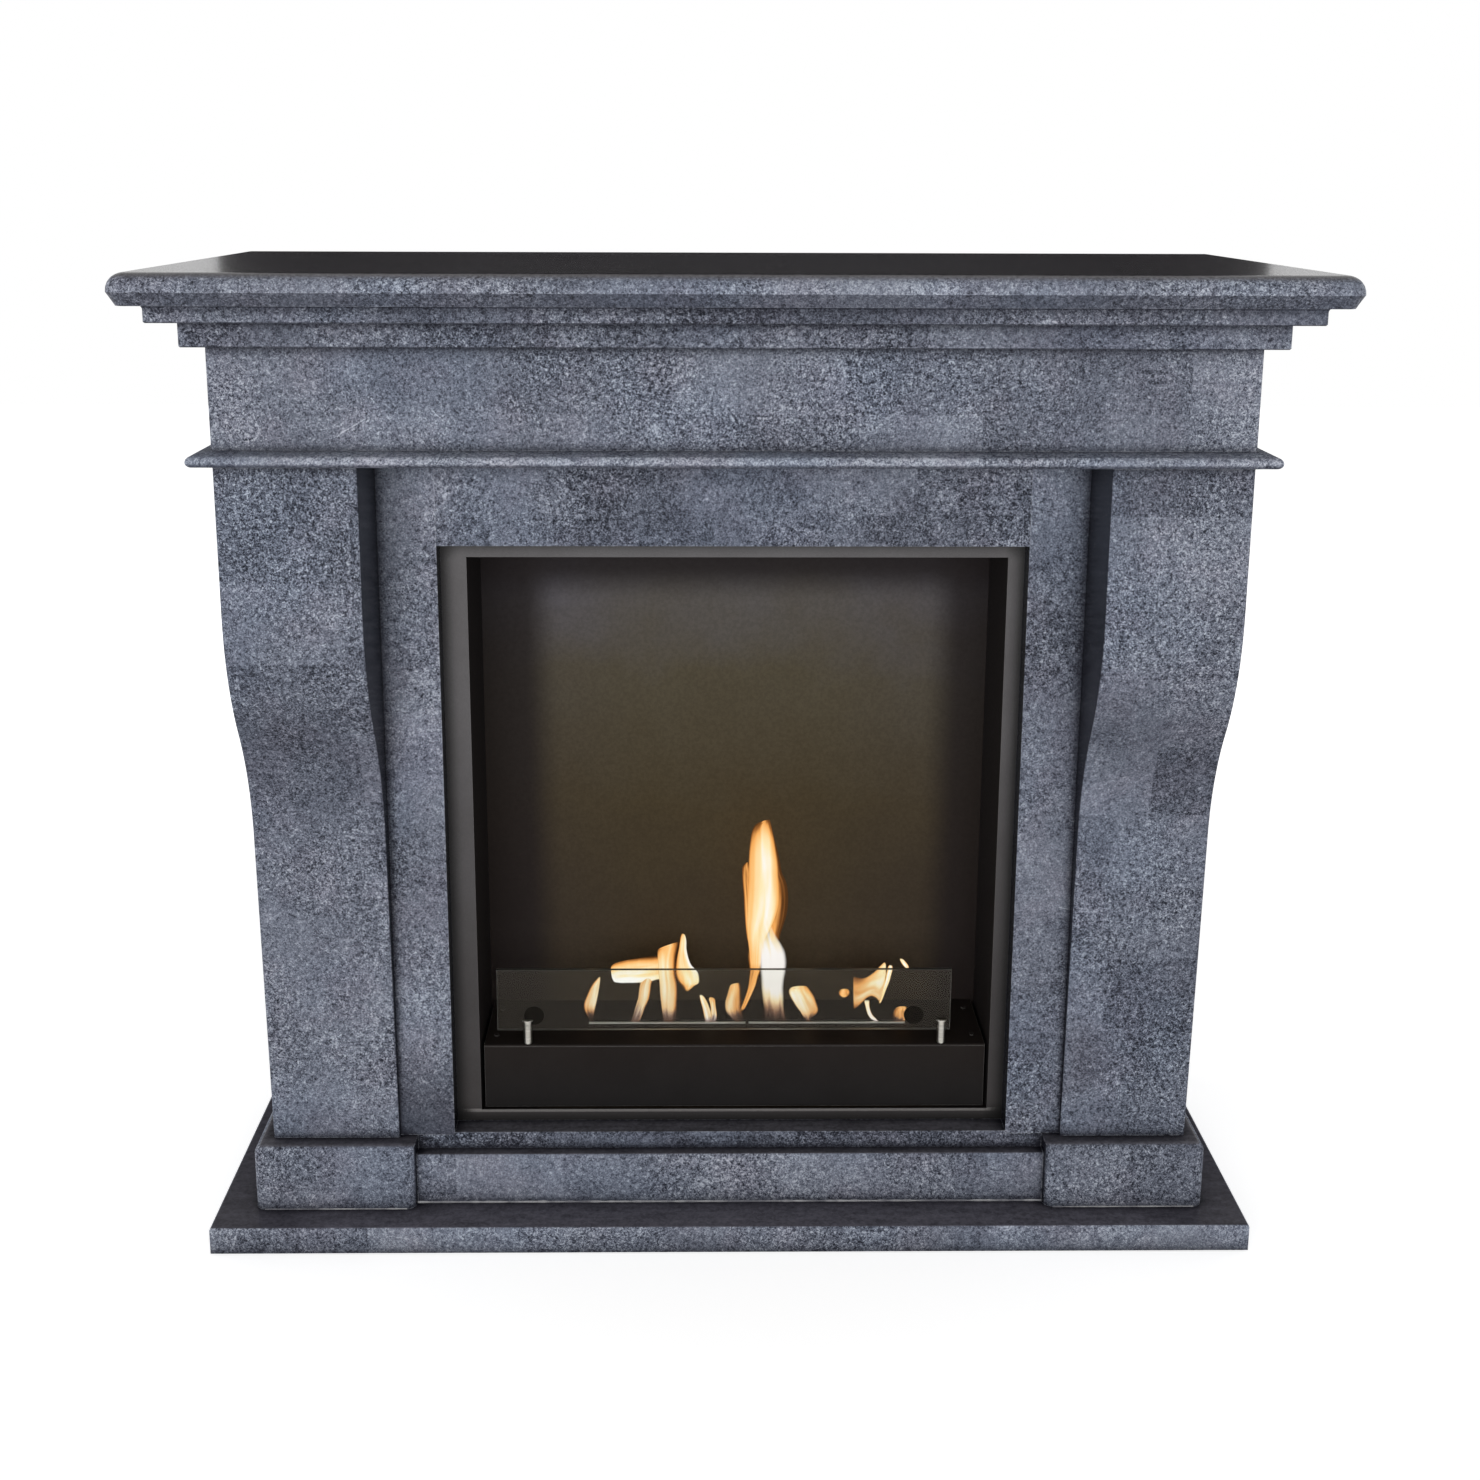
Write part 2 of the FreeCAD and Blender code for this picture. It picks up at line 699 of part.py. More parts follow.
os.makedirs("parts", exist_ok=True)
for name, shape in sorted(nodes.items()):
    shape.exportStep(os.path.join("parts", name + ".step"))
    state = "ok" if shape.isValid() else "INVALID"
    print(f"{name:22s} {len(shape.Solids)} solids {shape.Volume / 1e3:10.1f} cm3 {state}")
print(len(nodes), "nodes, top at", round(shelf_top, 1))
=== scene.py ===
import json
import bpy
import numpy as np
from mathutils import Matrix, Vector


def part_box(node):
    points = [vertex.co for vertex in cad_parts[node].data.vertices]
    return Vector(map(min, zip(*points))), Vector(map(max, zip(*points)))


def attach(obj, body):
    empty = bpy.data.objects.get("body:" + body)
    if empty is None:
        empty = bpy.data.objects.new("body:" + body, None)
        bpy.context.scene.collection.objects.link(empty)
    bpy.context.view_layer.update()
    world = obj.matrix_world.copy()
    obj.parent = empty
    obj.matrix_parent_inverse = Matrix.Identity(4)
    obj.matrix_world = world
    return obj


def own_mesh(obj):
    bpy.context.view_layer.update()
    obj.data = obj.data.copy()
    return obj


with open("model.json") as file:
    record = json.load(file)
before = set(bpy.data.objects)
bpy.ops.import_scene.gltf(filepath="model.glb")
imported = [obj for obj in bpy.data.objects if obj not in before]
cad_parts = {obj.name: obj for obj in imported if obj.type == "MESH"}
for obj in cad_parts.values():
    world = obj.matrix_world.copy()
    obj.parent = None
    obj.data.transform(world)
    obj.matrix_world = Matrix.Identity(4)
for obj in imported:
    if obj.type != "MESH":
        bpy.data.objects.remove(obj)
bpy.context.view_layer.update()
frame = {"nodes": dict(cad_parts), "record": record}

mm = 0.001


# Small tools for node trees: each one adds a node and gives back its output

def addNode(tree, kind, inputs=None, **settings):
    # a node with its settings, each input linked to a socket or set to a value
    node = tree.nodes.new(kind)
    for key, value in settings.items():
        setattr(node, key, value)
    for key, value in (inputs or {}).items():
        socket = node.inputs[key]
        if isinstance(value, bpy.types.NodeSocket):
            tree.links.new(value, socket)
        else:
            socket.default_value = value
    return node


def calc(tree, operation, *terms):
    # one sum of the shader's own, such as first times second plus third
    return addNode(tree, "ShaderNodeMath", dict(enumerate(terms)), operation=operation).outputs[0]


def noise(tree, where, scale, detail=2.0, roughness=0.55, distortion=0.0):
    # soft clouds from 0 to 1, scale in cells per metre
    values = {
        "Vector": where, "Scale": scale, "Detail": detail, "Roughness": roughness, "Distortion": distortion,
    }
    return addNode(tree, "ShaderNodeTexNoise", values).outputs["Fac"]


def span(tree, value, low, high, toLow=0.0, toHigh=1.0):
    # value from low to high becomes toLow to toHigh, eased at both ends
    values = {"Value": value, "From Min": low, "From Max": high, "To Min": toLow, "To Max": toHigh}
    return addNode(tree, "ShaderNodeMapRange", values, interpolation_type="SMOOTHSTEP").outputs[0]


def opaque(colour):
    # three parts get their alpha, a socket stays as it is
    return (*colour, 1.0) if isinstance(colour, tuple) else colour


def mix(tree, share, first, second, mode="MIX"):
    # first + share (second - first)
    values = {0: share, 6: opaque(first), 7: opaque(second)}
    return addNode(tree, "ShaderNodeMix", values, data_type="RGBA", blend_type=mode).outputs[2]


def shaded(tree, share, colour, factor):
    # the colour times a factor, by a share
    return mix(tree, share, colour, mix(tree, 1.0, colour, factor, "MULTIPLY"))


def ramp(tree, share, stops):
    # colour by a share, even between the stops
    node = addNode(tree, "ShaderNodeValToRGB", {"Fac": share})
    elements = node.color_ramp.elements
    while len(elements) < len(stops):
        elements.new(1.0)
    for element, (place, colour) in zip(elements, stops):
        element.position = place
        element.color = (*colour, 1.0)
    return node.outputs["Color"]


def bump(tree, height, strength, distance):
    # the normal, tilted along the slope of a height
    values = {"Height": height, "Strength": strength, "Distance": distance}
    return addNode(tree, "ShaderNodeBump", values).outputs[0]


def placed(tree, shift=(0.0, 0.0, 0.0), stretch=(1.0, 1.0, 1.0), turn=(0.0, 0.0, 0.0)):
    # Object coordinates, in metres, moved, turned and stretched
    spot = addNode(tree, "ShaderNodeTexCoord").outputs["Object"]
    values = {"Vector": spot, "Location": shift, "Rotation": turn, "Scale": stretch}
    return addNode(tree, "ShaderNodeMapping", values).outputs[0]


def axes(tree, output):
    # the three parts of the Object coordinates or of the surface's own normal
    source = addNode(tree, "ShaderNodeTexCoord").outputs[output]
    return addNode(tree, "ShaderNodeSeparateXYZ", {0: source}).outputs


def edgeWear(tree, radius):
    # 0 on flat faces, up to 1 where a rounded copy of the surface turns away from it
    soft = addNode(tree, "ShaderNodeBevel", {"Radius": radius}, samples=4).outputs[0]
    sharp = addNode(tree, "ShaderNodeNewGeometry").outputs["True Normal"]
    alike = addNode(tree, "ShaderNodeVectorMath", {0: soft, 1: sharp}, operation="DOT_PRODUCT")
    return span(tree, alike.outputs["Value"], 0.99, 0.80)


def openness(tree, distance):
    # 1 in the open, less in corners and creases
    return addNode(tree, "ShaderNodeAmbientOcclusion", {"Distance": distance}, samples=6).outputs["AO"]


def newFinish(name, **constants):
    # a material with one Principled shader, its constant values set on the shader itself
    material = bpy.data.materials.new(name)
    material.use_nodes = True
    tree = material.node_tree
    shader = tree.nodes["Principled BSDF"]
    for key, value in constants.items():
        shader.inputs[key.replace("_", " ")].default_value = value
    return material, tree, shader


def join(tree, shader, **links):
    # links patterns to the shader's inputs, by name
    for key, socket in links.items():
        tree.links.new(socket, shader.inputs[key.replace("_", " ")])


# Stone

stoneLook = {
    "grain": 500.0,  # cells per metre, from here to blues
    "flakes": 190.0,
    "flecks": 230.0,
    "patches": 9.0,  # where the flecks are
    "clouds": 21.0,
    "drift": 2.6,
    "bites": 6.5,
    "hairs": 12.0,
    "hairPlaces": 21.0,
    "ragged": 40.0,
    "mauves": 17.0,
    "blues": 5.5,
    "gains": {
        "grain": 1.85, "flakes": 0.95, "clouds": 0.36, "drift": 0.16, "tiles": 0.15, "flecks": 0.30,
        "hairlines": 0.32,
    },
    "middle": 0.53,
    "biteRange": (0.68, 1.16),  # how deep the hammering is
    "tileBite": -0.22,
    "tile": (0.118, 0.083),  # patches of one tone, width and height in metres
    "tileBond": {"offset": 0.37, "squash": 1.4},
    "tileWander": 0.004,  # how ragged their joints are
    "hairWidth": 0.0055,
    "tones": [
        (0.00, (0.007, 0.008, 0.012)),
        (0.28, (0.041, 0.045, 0.061)),
        (0.50, (0.134, 0.147, 0.189)),
        (0.72, (0.250, 0.272, 0.332)),
        (1.00, (0.530, 0.565, 0.640)),
    ],
    "honedStops": [(0.32, 0.52), (0.68, 1.50)],  # places on the ramp and shares of the honed tone
    # painted shade on the sides inside the recess
    "revealShade": (0.012, 0.012, 0.018),
    "cheekShade": (0.003, 0.003, 0.006),  # the opening's own sides, painted shade
    "nookShade": (0.008, 0.008, 0.013),
    "nookShades": [(0.045, 0.30, 0.62), (0.013, 0.44, 0.94)],  # reach in metres, deepest corner, most painted shade
    "worn": (0.40, 0.42, 0.47),
    "wornWidth": 2.0 * mm,
    "mauve": (1.04, 0.97, 0.975),  # factors on the tone from here on; the last three are painted shade
    "blue": (0.965, 1.0, 1.03),
    "below": (0.20, 0.20, 0.23),
    "footShade": (0.33, 0.33, 0.35),
    "ends": (0.60, 0.60, 0.61),
    "legReach": 0.498,  # sides of the legs nearer the middle than this are in the recess
    "cheekReach": 0.315,
}


def away(tree, value, gain):
    # how far a pattern stands from its middle tone, times a gain
    return calc(tree, "MULTIPLY", calc(tree, "SUBTRACT", value, 0.5), gain)


def toneTiles(tree, shift, spot):
    # rows of patches on the upright faces, each a shade of its own, with ragged joints
    look = stoneLook
    values = {"Vector": spot, "Scale": look["ragged"], "Detail": 3.0}
    ragged = addNode(tree, "ShaderNodeTexNoise", values).outputs["Color"]
    upright = placed(tree, shift, turn=(np.pi / 2, 0.0, 0.0))
    wide, tall, deep = addNode(tree, "ShaderNodeSeparateXYZ", {0: upright}).outputs
    # the rows run along X, and along Y on faces that look sideways
    aside = calc(tree, "GREATER_THAN", calc(tree, "ABSOLUTE", axes(tree, "Normal")["X"]), 0.7)
    run = calc(tree, "MULTIPLY_ADD", calc(tree, "SUBTRACT", deep, wide), aside, wide)
    upright = addNode(tree, "ShaderNodeCombineXYZ", {0: run, 1: tall}).outputs[0]
    values = {0: look["tileWander"], 4: upright, 5: ragged}
    where = addNode(tree, "ShaderNodeMix", values, data_type="VECTOR").outputs[1]
    width, height = look["tile"]
    values = {
        "Vector": where, "Color1": (0, 0, 0, 1), "Color2": (1, 1, 1, 1), "Scale": 1.0,
        "Mortar Size": 0.0, "Brick Width": width, "Row Height": height,
    }
    return addNode(tree, "ShaderNodeTexBrick", values, **look["tileBond"]).outputs["Color"]


def hairlines(tree, spot):
    # thin light scratches: where a slow noise crosses its middle, kept in a few places only
    look = stoneLook
    line = calc(tree, "ABSOLUTE", away(tree, noise(tree, spot, look["hairs"], 1.0, 0.5, 0.3), 1.0))
    line = span(tree, line, 0.0, look["hairWidth"], 1.0, 0.0)
    some = span(tree, noise(tree, spot, look["hairPlaces"], 2.0), 0.60, 0.68)
    return calc(tree, "MULTIPLY", line, some)


def stoneTone(tree, shift, tone):
    # level = middle + tone + bite (grain + flakes) + clouds + drift + tiles + flecks + hairlines
    look, gains = stoneLook, stoneLook["gains"]
    spot = placed(tree, shift)
    grain = noise(tree, spot, look["grain"], 2.0, 0.6, 0.9)
    flakes = noise(tree, spot, look["flakes"], 3.0, 0.6, 0.5)
    tiles = toneTiles(tree, shift, spot)
    bite = span(tree, noise(tree, spot, look["bites"], 3.0), 0.38, 0.62, *look["biteRange"])
    bite = calc(tree, "ADD", bite, away(tree, tiles, look["tileBite"]))
    both = calc(tree, "ADD", away(tree, grain, gains["grain"]), away(tree, flakes, gains["flakes"]))
    fine = calc(tree, "MULTIPLY", bite, both)
    level = calc(tree, "ADD", fine, look["middle"] + tone)
    slow = {
        "clouds": noise(tree, spot, look["clouds"], 5.0, 0.62),
        "drift": noise(tree, spot, look["drift"]),
        "tiles": tiles,
    }
    for key, pattern in slow.items():
        level = calc(tree, "ADD", level, away(tree, pattern, gains[key]))
    flecks = span(tree, noise(tree, spot, look["flecks"], 2.0, 0.5, 1.6), 0.60, 0.72)
    patch = span(tree, noise(tree, spot, look["patches"], 2.0), 0.46, 0.66)
    level = calc(tree, "MULTIPLY_ADD", calc(tree, "MULTIPLY", flecks, patch), gains["flecks"], level)
    level = calc(tree, "MULTIPLY_ADD", hairlines(tree, spot), gains["hairlines"], level)
    return spot, grain, flakes, fine, level


def stoneColour(tree, spot, level):
    # the ramp's colour, a little mauve in some clouds and a little blue in others
    look = stoneLook
    mauve = span(tree, noise(tree, spot, look["mauves"], 3.0), 0.42, 0.68, 0.0, 0.6)
    colour = shaded(tree, mauve, ramp(tree, level, look["tones"]), look["mauve"])
    blue = span(tree, noise(tree, spot, look["blues"], 2.0), 0.44, 0.66)
    return shaded(tree, blue, colour, look["blue"])


def honedTone(tree, shift, flakes, reach, honed, ends):
    # smooth and dark, with a faint drag of the stone, and painted shade past the ends
    look = stoneLook
    drag = noise(tree, placed(tree, shift, (4.0, 16.0, 16.0)), 6.0, 5.0, 0.65)
    haze = calc(tree, "MULTIPLY_ADD", flakes, 0.5, calc(tree, "MULTIPLY", drag, 0.5))
    stops = [(place, [share * part for part in honed]) for place, share in look["honedStops"]]
    even = ramp(tree, haze, stops)
    return shaded(tree, span(tree, reach, *ends), even, look["ends"]) if ends else even


def stoneFinish(name, shift, tone=0.0, gloss=0.10, underShade=0.80, honed=None, turnUp=(0.80, 0.97), ends=None,
                dirtAndShade=None):
    # hammered, painted shade in the recess and underneath, honed on level faces, painted shade in the
    # creases, worn at edges
    look = stoneLook
    material, tree, shader = newFinish(name, Specular_IOR_Level=gloss)
    spot, grain, flakes, fine, level = stoneTone(tree, shift, tone)
    colour = stoneColour(tree, spot, level)
    place, normal = axes(tree, "Object"), axes(tree, "Normal")
    # sides of the legs and of the opening, inside the recess: honed smooth, and painted dark as shade
    aside = span(tree, calc(tree, "ABSOLUTE", normal["X"]), 0.80, 0.97)
    reach = calc(tree, "ABSOLUTE", place["X"])
    smoothAndShaded = calc(tree, "MULTIPLY", aside, calc(tree, "LESS_THAN", reach, look["legReach"]))
    inner = calc(tree, "LESS_THAN", reach, look["cheekReach"])
    shade = mix(tree, inner, look["revealShade"], look["cheekShade"])
    colour = mix(tree, calc(tree, "MULTIPLY", smoothAndShaded, 0.92), colour, shade)
    # painted shade on faces that look down
    colour = shaded(tree, span(tree, normal["Z"], -0.12, -0.62, 0.0, underShade), colour, look["below"])
    if honed:
        up = span(tree, normal["Z"], *turnUp)
        colour = mix(tree, up, colour, honedTone(tree, shift, flakes, reach, honed, ends))
        smoothAndShaded = calc(tree, "MAXIMUM", smoothAndShaded, up)
    if dirtAndShade:
        # painted shade near the hearth, darker from the first height down to the second
        colour = shaded(tree, span(tree, place["Z"], *dirtAndShade, 0.0, 0.9), colour, look["footShade"])
    # painted shade in corners and creases, by how open the surface is
    for distance, deepest, most in look["nookShades"]:
        nookShade = span(tree, openness(tree, distance), deepest, 0.92, most, 0.0)
        colour = mix(tree, nookShade, colour, look["nookShade"])
    wear = span(tree, flakes, 0.36, 0.60, 0.0, 0.5)
    wear = calc(tree, "MULTIPLY", edgeWear(tree, look["wornWidth"]), wear)
    colour = mix(tree, wear, colour, look["worn"])
    roughness = calc(tree, "MULTIPLY_ADD", smoothAndShaded, -0.46, calc(tree, "MULTIPLY_ADD", grain, 0.25, 0.55))
    height = calc(tree, "MULTIPLY", fine, calc(tree, "SUBTRACT", 1.0, smoothAndShaded))
    join(tree, shader, Base_Color=colour, Roughness=roughness, Normal=bump(tree, height, 0.40, 1.0 * mm))
    return material


# Steel, glass and the small stuff

# top and bottom: the coat's tones; the paler top is painted sheen
flangeCoat = {
    "top": (0.098, 0.093, 0.096), "bottom": (0.040, 0.036, 0.036), "levels": (0.10, 0.76),
    "rough": 0.36, "wear": 0.25, "nookShade": 0.022, "specular": 0.20, "highlightTone": (0.19, 0.18, 0.175),
}
trayCoat = {
    "top": (0.0130, 0.0100, 0.0088), "bottom": (0.0095, 0.0085, 0.0085), "levels": (0.12, 0.20),
    "rough": 0.50, "wear": 0.55, "nookShade": 0.006, "specular": 0.09, "highlightTone": (0.012, 0.010, 0.010),
}
# marks on the black steel: wear, painted shade in the joints and a painted highlight on the sill
steelWearAndLight = {
    "peel": 900.0,  # cells per metre
    "blotchTint": (0.74, 0.72, 0.70),  # factors on the coat's colour
    "peelTint": (1.5, 1.5, 1.5),
    # painted shade in the joints
    "nookShadeTint": (0.04, 0.04, 0.04),
    "bare": (0.24, 0.23, 0.22),
    "edge": 0.9 * mm,
    "sillHighlight": (-1.6 * mm, -0.4 * mm),  # heights of the painted highlight from the sill of the steel opening
    "sillHighlightTop": 3 * mm,
}


def blackSteelFinish(name, look):
    # baked-on coat: painted sheen paler towards the top, fine orange peel, painted shade in the joints, a
    # painted highlight along the sill, bare at the edges
    material, tree, shader = newFinish(name, Specular_IOR_Level=look["specular"])
    spot = placed(tree)
    # paler towards the top: painted sheen for the light the coat mirrors from above
    rise = span(tree, axes(tree, "Object")["Z"], *look["levels"])
    colour = mix(tree, rise, look["bottom"], look["top"])
    blotch = noise(tree, spot, 14.0, 4.0, 0.6)
    colour = shaded(tree, span(tree, blotch, 0.35, 0.7, 0.0, 0.45), colour, steelWearAndLight["blotchTint"])
    peel = noise(tree, spot, steelWearAndLight["peel"], 2.0, 0.5)
    colour = shaded(tree, span(tree, peel, 0.35, 0.7, 0.0, 0.30), colour, steelWearAndLight["peelTint"])
    # painted shade in the joints and along the stone's edge
    nookShade = openness(tree, look["nookShade"])
    colour = shaded(tree, span(tree, nookShade, 0.52, 0.90, 0.97, 0.0), colour, steelWearAndLight["nookShadeTint"])
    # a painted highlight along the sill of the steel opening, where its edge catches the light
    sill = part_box("firebox_floor")[1].z
    level = axes(tree, "Object")["Z"]
    sillHighlight = span(tree, level, *(sill + height for height in steelWearAndLight["sillHighlight"]))
    sillHighlight = calc(tree, "MULTIPLY", sillHighlight, calc(tree, "LESS_THAN", level, sill + steelWearAndLight["sillHighlightTop"]))
    sillHighlight = calc(tree, "MULTIPLY", sillHighlight, calc(tree, "GREATER_THAN", nookShade, 0.8))
    colour = mix(tree, sillHighlight, colour, look["highlightTone"])
    edge = span(tree, blotch, 0.30, 0.55, 0.5, 1.0)
    edge = calc(tree, "MULTIPLY", edgeWear(tree, steelWearAndLight["edge"]), edge)
    colour = mix(tree, calc(tree, "MULTIPLY", edge, look["wear"]), colour, steelWearAndLight["bare"])
    roughness = calc(tree, "MULTIPLY_ADD", blotch, 0.22, look["rough"])
    join(tree, shader, Base_Color=colour, Roughness=roughness, Normal=bump(tree, peel, 0.25, 0.0004))
    return material


fireboxCoat = {
    "levels": (0.20, 0.75),  # metres, for the first and the last tone
    # darker and browner lower down: painted shade and painted firelight
    "tones": [
        (0.00, (0.030, 0.0205, 0.0115)), (0.22, (0.040, 0.028, 0.0145)), (0.42, (0.055, 0.0395, 0.0185)),
        (0.70, (0.077, 0.063, 0.039)), (1.00, (0.107, 0.101, 0.106)),
    ],
    # painted shade on the side walls
    "sides": (0.012, 0.010, 0.010),
    "bandShadow": (0.0085, 0.0055, 0.0058),
    "leftBand": (0.048, 0.092),  # metres from the sides and from the roof where the painted shadow thins out
    "rightBand": (0.030, 0.074),
    "topBand": (0.040, 0.084),
    "sideShadow": 0.86,  # darkest painted shadow in the corners
    "topShadow": 0.93,
    "greyBand": (0.07, 0.20),
    "grey": (0.99, 1.02, 1.25),
    "outside": (0.030, 0.029, 0.029),
}


def fireboxFinish(name):
    # matt coat: grey above, darker and browner lower down as painted shade and painted firelight, painted
    # shadow along the sides and under the roof
    look = fireboxCoat
    material, tree, shader = newFinish(name, Specular_IOR_Level=0.12)
    spot = placed(tree)
    place, normal = axes(tree, "Object"), axes(tree, "Normal")
    values = {"Value": place["Z"], "From Min": look["levels"][0], "From Max": look["levels"][1]}
    rise = addNode(tree, "ShaderNodeMapRange", values).outputs[0]
    blotch = noise(tree, spot, 9.0, 4.0, 0.6)
    # tone by height: painted shade and painted firelight lower down
    colour = ramp(tree, calc(tree, "ADD", rise, away(tree, blotch, 0.25)), look["tones"])
    mottle = noise(tree, spot, 260.0, 4.0, 0.65)
    colour = shaded(tree, span(tree, mottle, 0.30, 0.70, 0.0, 0.6), colour, (0.70, 0.70, 0.70))
    low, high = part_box("firebox_back")
    fromLeft = calc(tree, "SUBTRACT", place["X"], low.x)
    fromRight = calc(tree, "SUBTRACT", high.x, place["X"])
    fromTop = calc(tree, "SUBTRACT", high.z, place["Z"])
    # greyer towards the sides, where the fire browns it less
    nearSide = span(tree, calc(tree, "MINIMUM", fromLeft, fromRight), *look["greyBand"], 0.7, 0.0)
    colour = shaded(tree, nearSide, colour, look["grey"])
    # painted shadow of the flange and the roof, in bands along the sides and the top
    bands = (
        span(tree, fromLeft, *look["leftBand"], look["sideShadow"], 0.0),
        span(tree, fromRight, *look["rightBand"], look["sideShadow"], 0.0),
        span(tree, fromTop, *look["topBand"], look["topShadow"], 0.0),
    )
    for band in bands:
        colour = mix(tree, band, colour, look["bandShadow"])
    outer = calc(tree, "GREATER_THAN", normal["Y"], 0.5)
    colour = mix(tree, outer, colour, shaded(tree, mottle, look["outside"], (0.6, 0.6, 0.6)))
    # painted shade on the side walls
    aside = span(tree, calc(tree, "ABSOLUTE", normal["X"]), 0.5, 0.9)
    colour = mix(tree, aside, colour, look["sides"])
    roughness = calc(tree, "MULTIPLY_ADD", mottle, 0.2, 0.55)
    join(tree, shader, Base_Color=colour, Roughness=roughness, Normal=bump(tree, mottle, 0.25, 0.0006))
    return material


turnedLook = {
    "tint": (0.50, 0.485, 0.44), "dim": (0.36, 0.345, 0.31), "heat": (0.42, 0.35, 0.25), "metal": 1.0,
    "stretch": (1.0, 1.0, 14.0),
}
brushedLook = {
    "tint": (0.84, 0.81, 0.76), "dim": (0.66, 0.64, 0.60), "heat": (0.62, 0.53, 0.40), "metal": 0.70,
    "stretch": (1.0, 18.0, 18.0),
}


def stainlessFinish(name, look):
    # brushed: long fine streaks, a few marks, warm heat tint here and there
    material, tree, shader = newFinish(name, Metallic=look["metal"])
    streaks = noise(tree, placed(tree, stretch=look["stretch"]), 30.0, 5.0, 0.7)
    heat = noise(tree, placed(tree), 22.0, 3.0, 0.6)
    colour = mix(tree, span(tree, streaks, 0.3, 0.7), look["dim"], look["tint"])
    colour = mix(tree, span(tree, heat, 0.45, 0.75, 0.0, 0.5), colour, look["heat"])
    roughness = calc(tree, "MULTIPLY_ADD", streaks, 0.25, 0.22)
    join(tree, shader, Base_Color=colour, Roughness=roughness, Normal=bump(tree, streaks, 0.12, 0.0003))
    return material


zincLook = {"dull": (0.42, 0.43, 0.45), "bright": (0.60, 0.61, 0.62), "bloom": (0.66, 0.66, 0.64)}


def zincFinish(name):
    # spangled zinc with dull white bloom
    look = zincLook
    material, tree, shader = newFinish(name, Metallic=0.9)
    spot = placed(tree)
    spangle = addNode(tree, "ShaderNodeTexVoronoi", {"Vector": spot, "Scale": 110.0}).outputs["Color"]
    shade = addNode(tree, "ShaderNodeSeparateColor", {0: spangle}).outputs[0]
    bloom = span(tree, noise(tree, spot, 30.0, 4.0, 0.65), 0.45, 0.75)
    colour = mix(tree, shade, look["dull"], look["bright"])
    colour = mix(tree, calc(tree, "MULTIPLY", bloom, 0.4), colour, look["bloom"])
    roughness = calc(tree, "MULTIPLY_ADD", shade, 0.14, calc(tree, "MULTIPLY_ADD", bloom, 0.2, 0.30))
    join(tree, shader, Base_Color=colour, Roughness=roughness, Normal=bump(tree, shade, 0.06, 0.0003))
    return material


blockLook = {"dark": (0.46, 0.46, 0.44), "light": (0.62, 0.62, 0.59), "pore": (0.25, 0.25, 0.24)}


def blockFinish(name):
    # light aerated block: cloudy grey with open pores
    look = blockLook
    material, tree, shader = newFinish(name, Specular_IOR_Level=0.15)
    spot = placed(tree)
    pores = addNode(tree, "ShaderNodeTexVoronoi", {"Vector": spot, "Scale": 330.0}).outputs["Distance"]
    whole = span(tree, pores, 0.12, 0.30)
    cloud = noise(tree, spot, 18.0, 5.0, 0.6)
    colour = mix(tree, span(tree, cloud, 0.3, 0.7), look["dark"], look["light"])
    colour = mix(tree, whole, look["pore"], colour)
    roughness = calc(tree, "MULTIPLY_ADD", cloud, 0.1, 0.82)
    join(tree, shader, Base_Color=colour, Roughness=roughness, Normal=bump(tree, whole, 0.5, 0.001))
    return material


woolLook = {"deep": (0.55, 0.54, 0.50), "loose": (0.88, 0.87, 0.83), "scorch": (0.30, 0.25, 0.19)}


def woolFinish(name):
    # loose ceramic fibre, scorched a little in patches
    look = woolLook
    material, tree, shader = newFinish(name, Specular_IOR_Level=0.1)
    fibres = noise(tree, placed(tree, stretch=(1.0, 1.6, 4.0)), 260.0, 5.0, 0.75, 2.5)
    scorch = span(tree, noise(tree, placed(tree), 35.0, 3.0), 0.5, 0.75)
    colour = mix(tree, span(tree, fibres, 0.3, 0.7), look["deep"], look["loose"])
    colour = mix(tree, calc(tree, "MULTIPLY", scorch, 0.5), colour, look["scorch"])
    roughness = calc(tree, "MULTIPLY_ADD", fibres, 0.1, 0.85)
    join(tree, shader, Base_Color=colour, Roughness=roughness, Normal=bump(tree, fibres, 0.8, 0.002))
    return material


def darkRubberFinish(name, colour, dusty):
    # moulded black: faint grain and grey dust
    material, tree, shader = newFinish(name, Specular_IOR_Level=0.3)
    spot = placed(tree)
    grain = noise(tree, spot, 700.0, 3.0, 0.6)
    dust = span(tree, noise(tree, spot, 60.0, 4.0, 0.6), 0.45, 0.8, 0.0, 0.35)
    tinted = mix(tree, dust, colour, dusty)
    roughness = calc(tree, "MULTIPLY_ADD", grain, 0.25, 0.42)
    join(tree, shader, Base_Color=tinted, Roughness=roughness, Normal=bump(tree, grain, 0.2, 0.0003))
    return material


glassLook = {
    "clear": (0.955, 0.970, 0.945), "smear": (0.90, 0.925, 0.885), "ground": (0.060, 0.060, 0.054),
    "bend": 1.23, "specular": 0.12,
    "mirror": (1.0, 0.88, 0.74),  # tint of what it mirrors
    "arris": 1.1 * mm,  # width of the ground edge
}


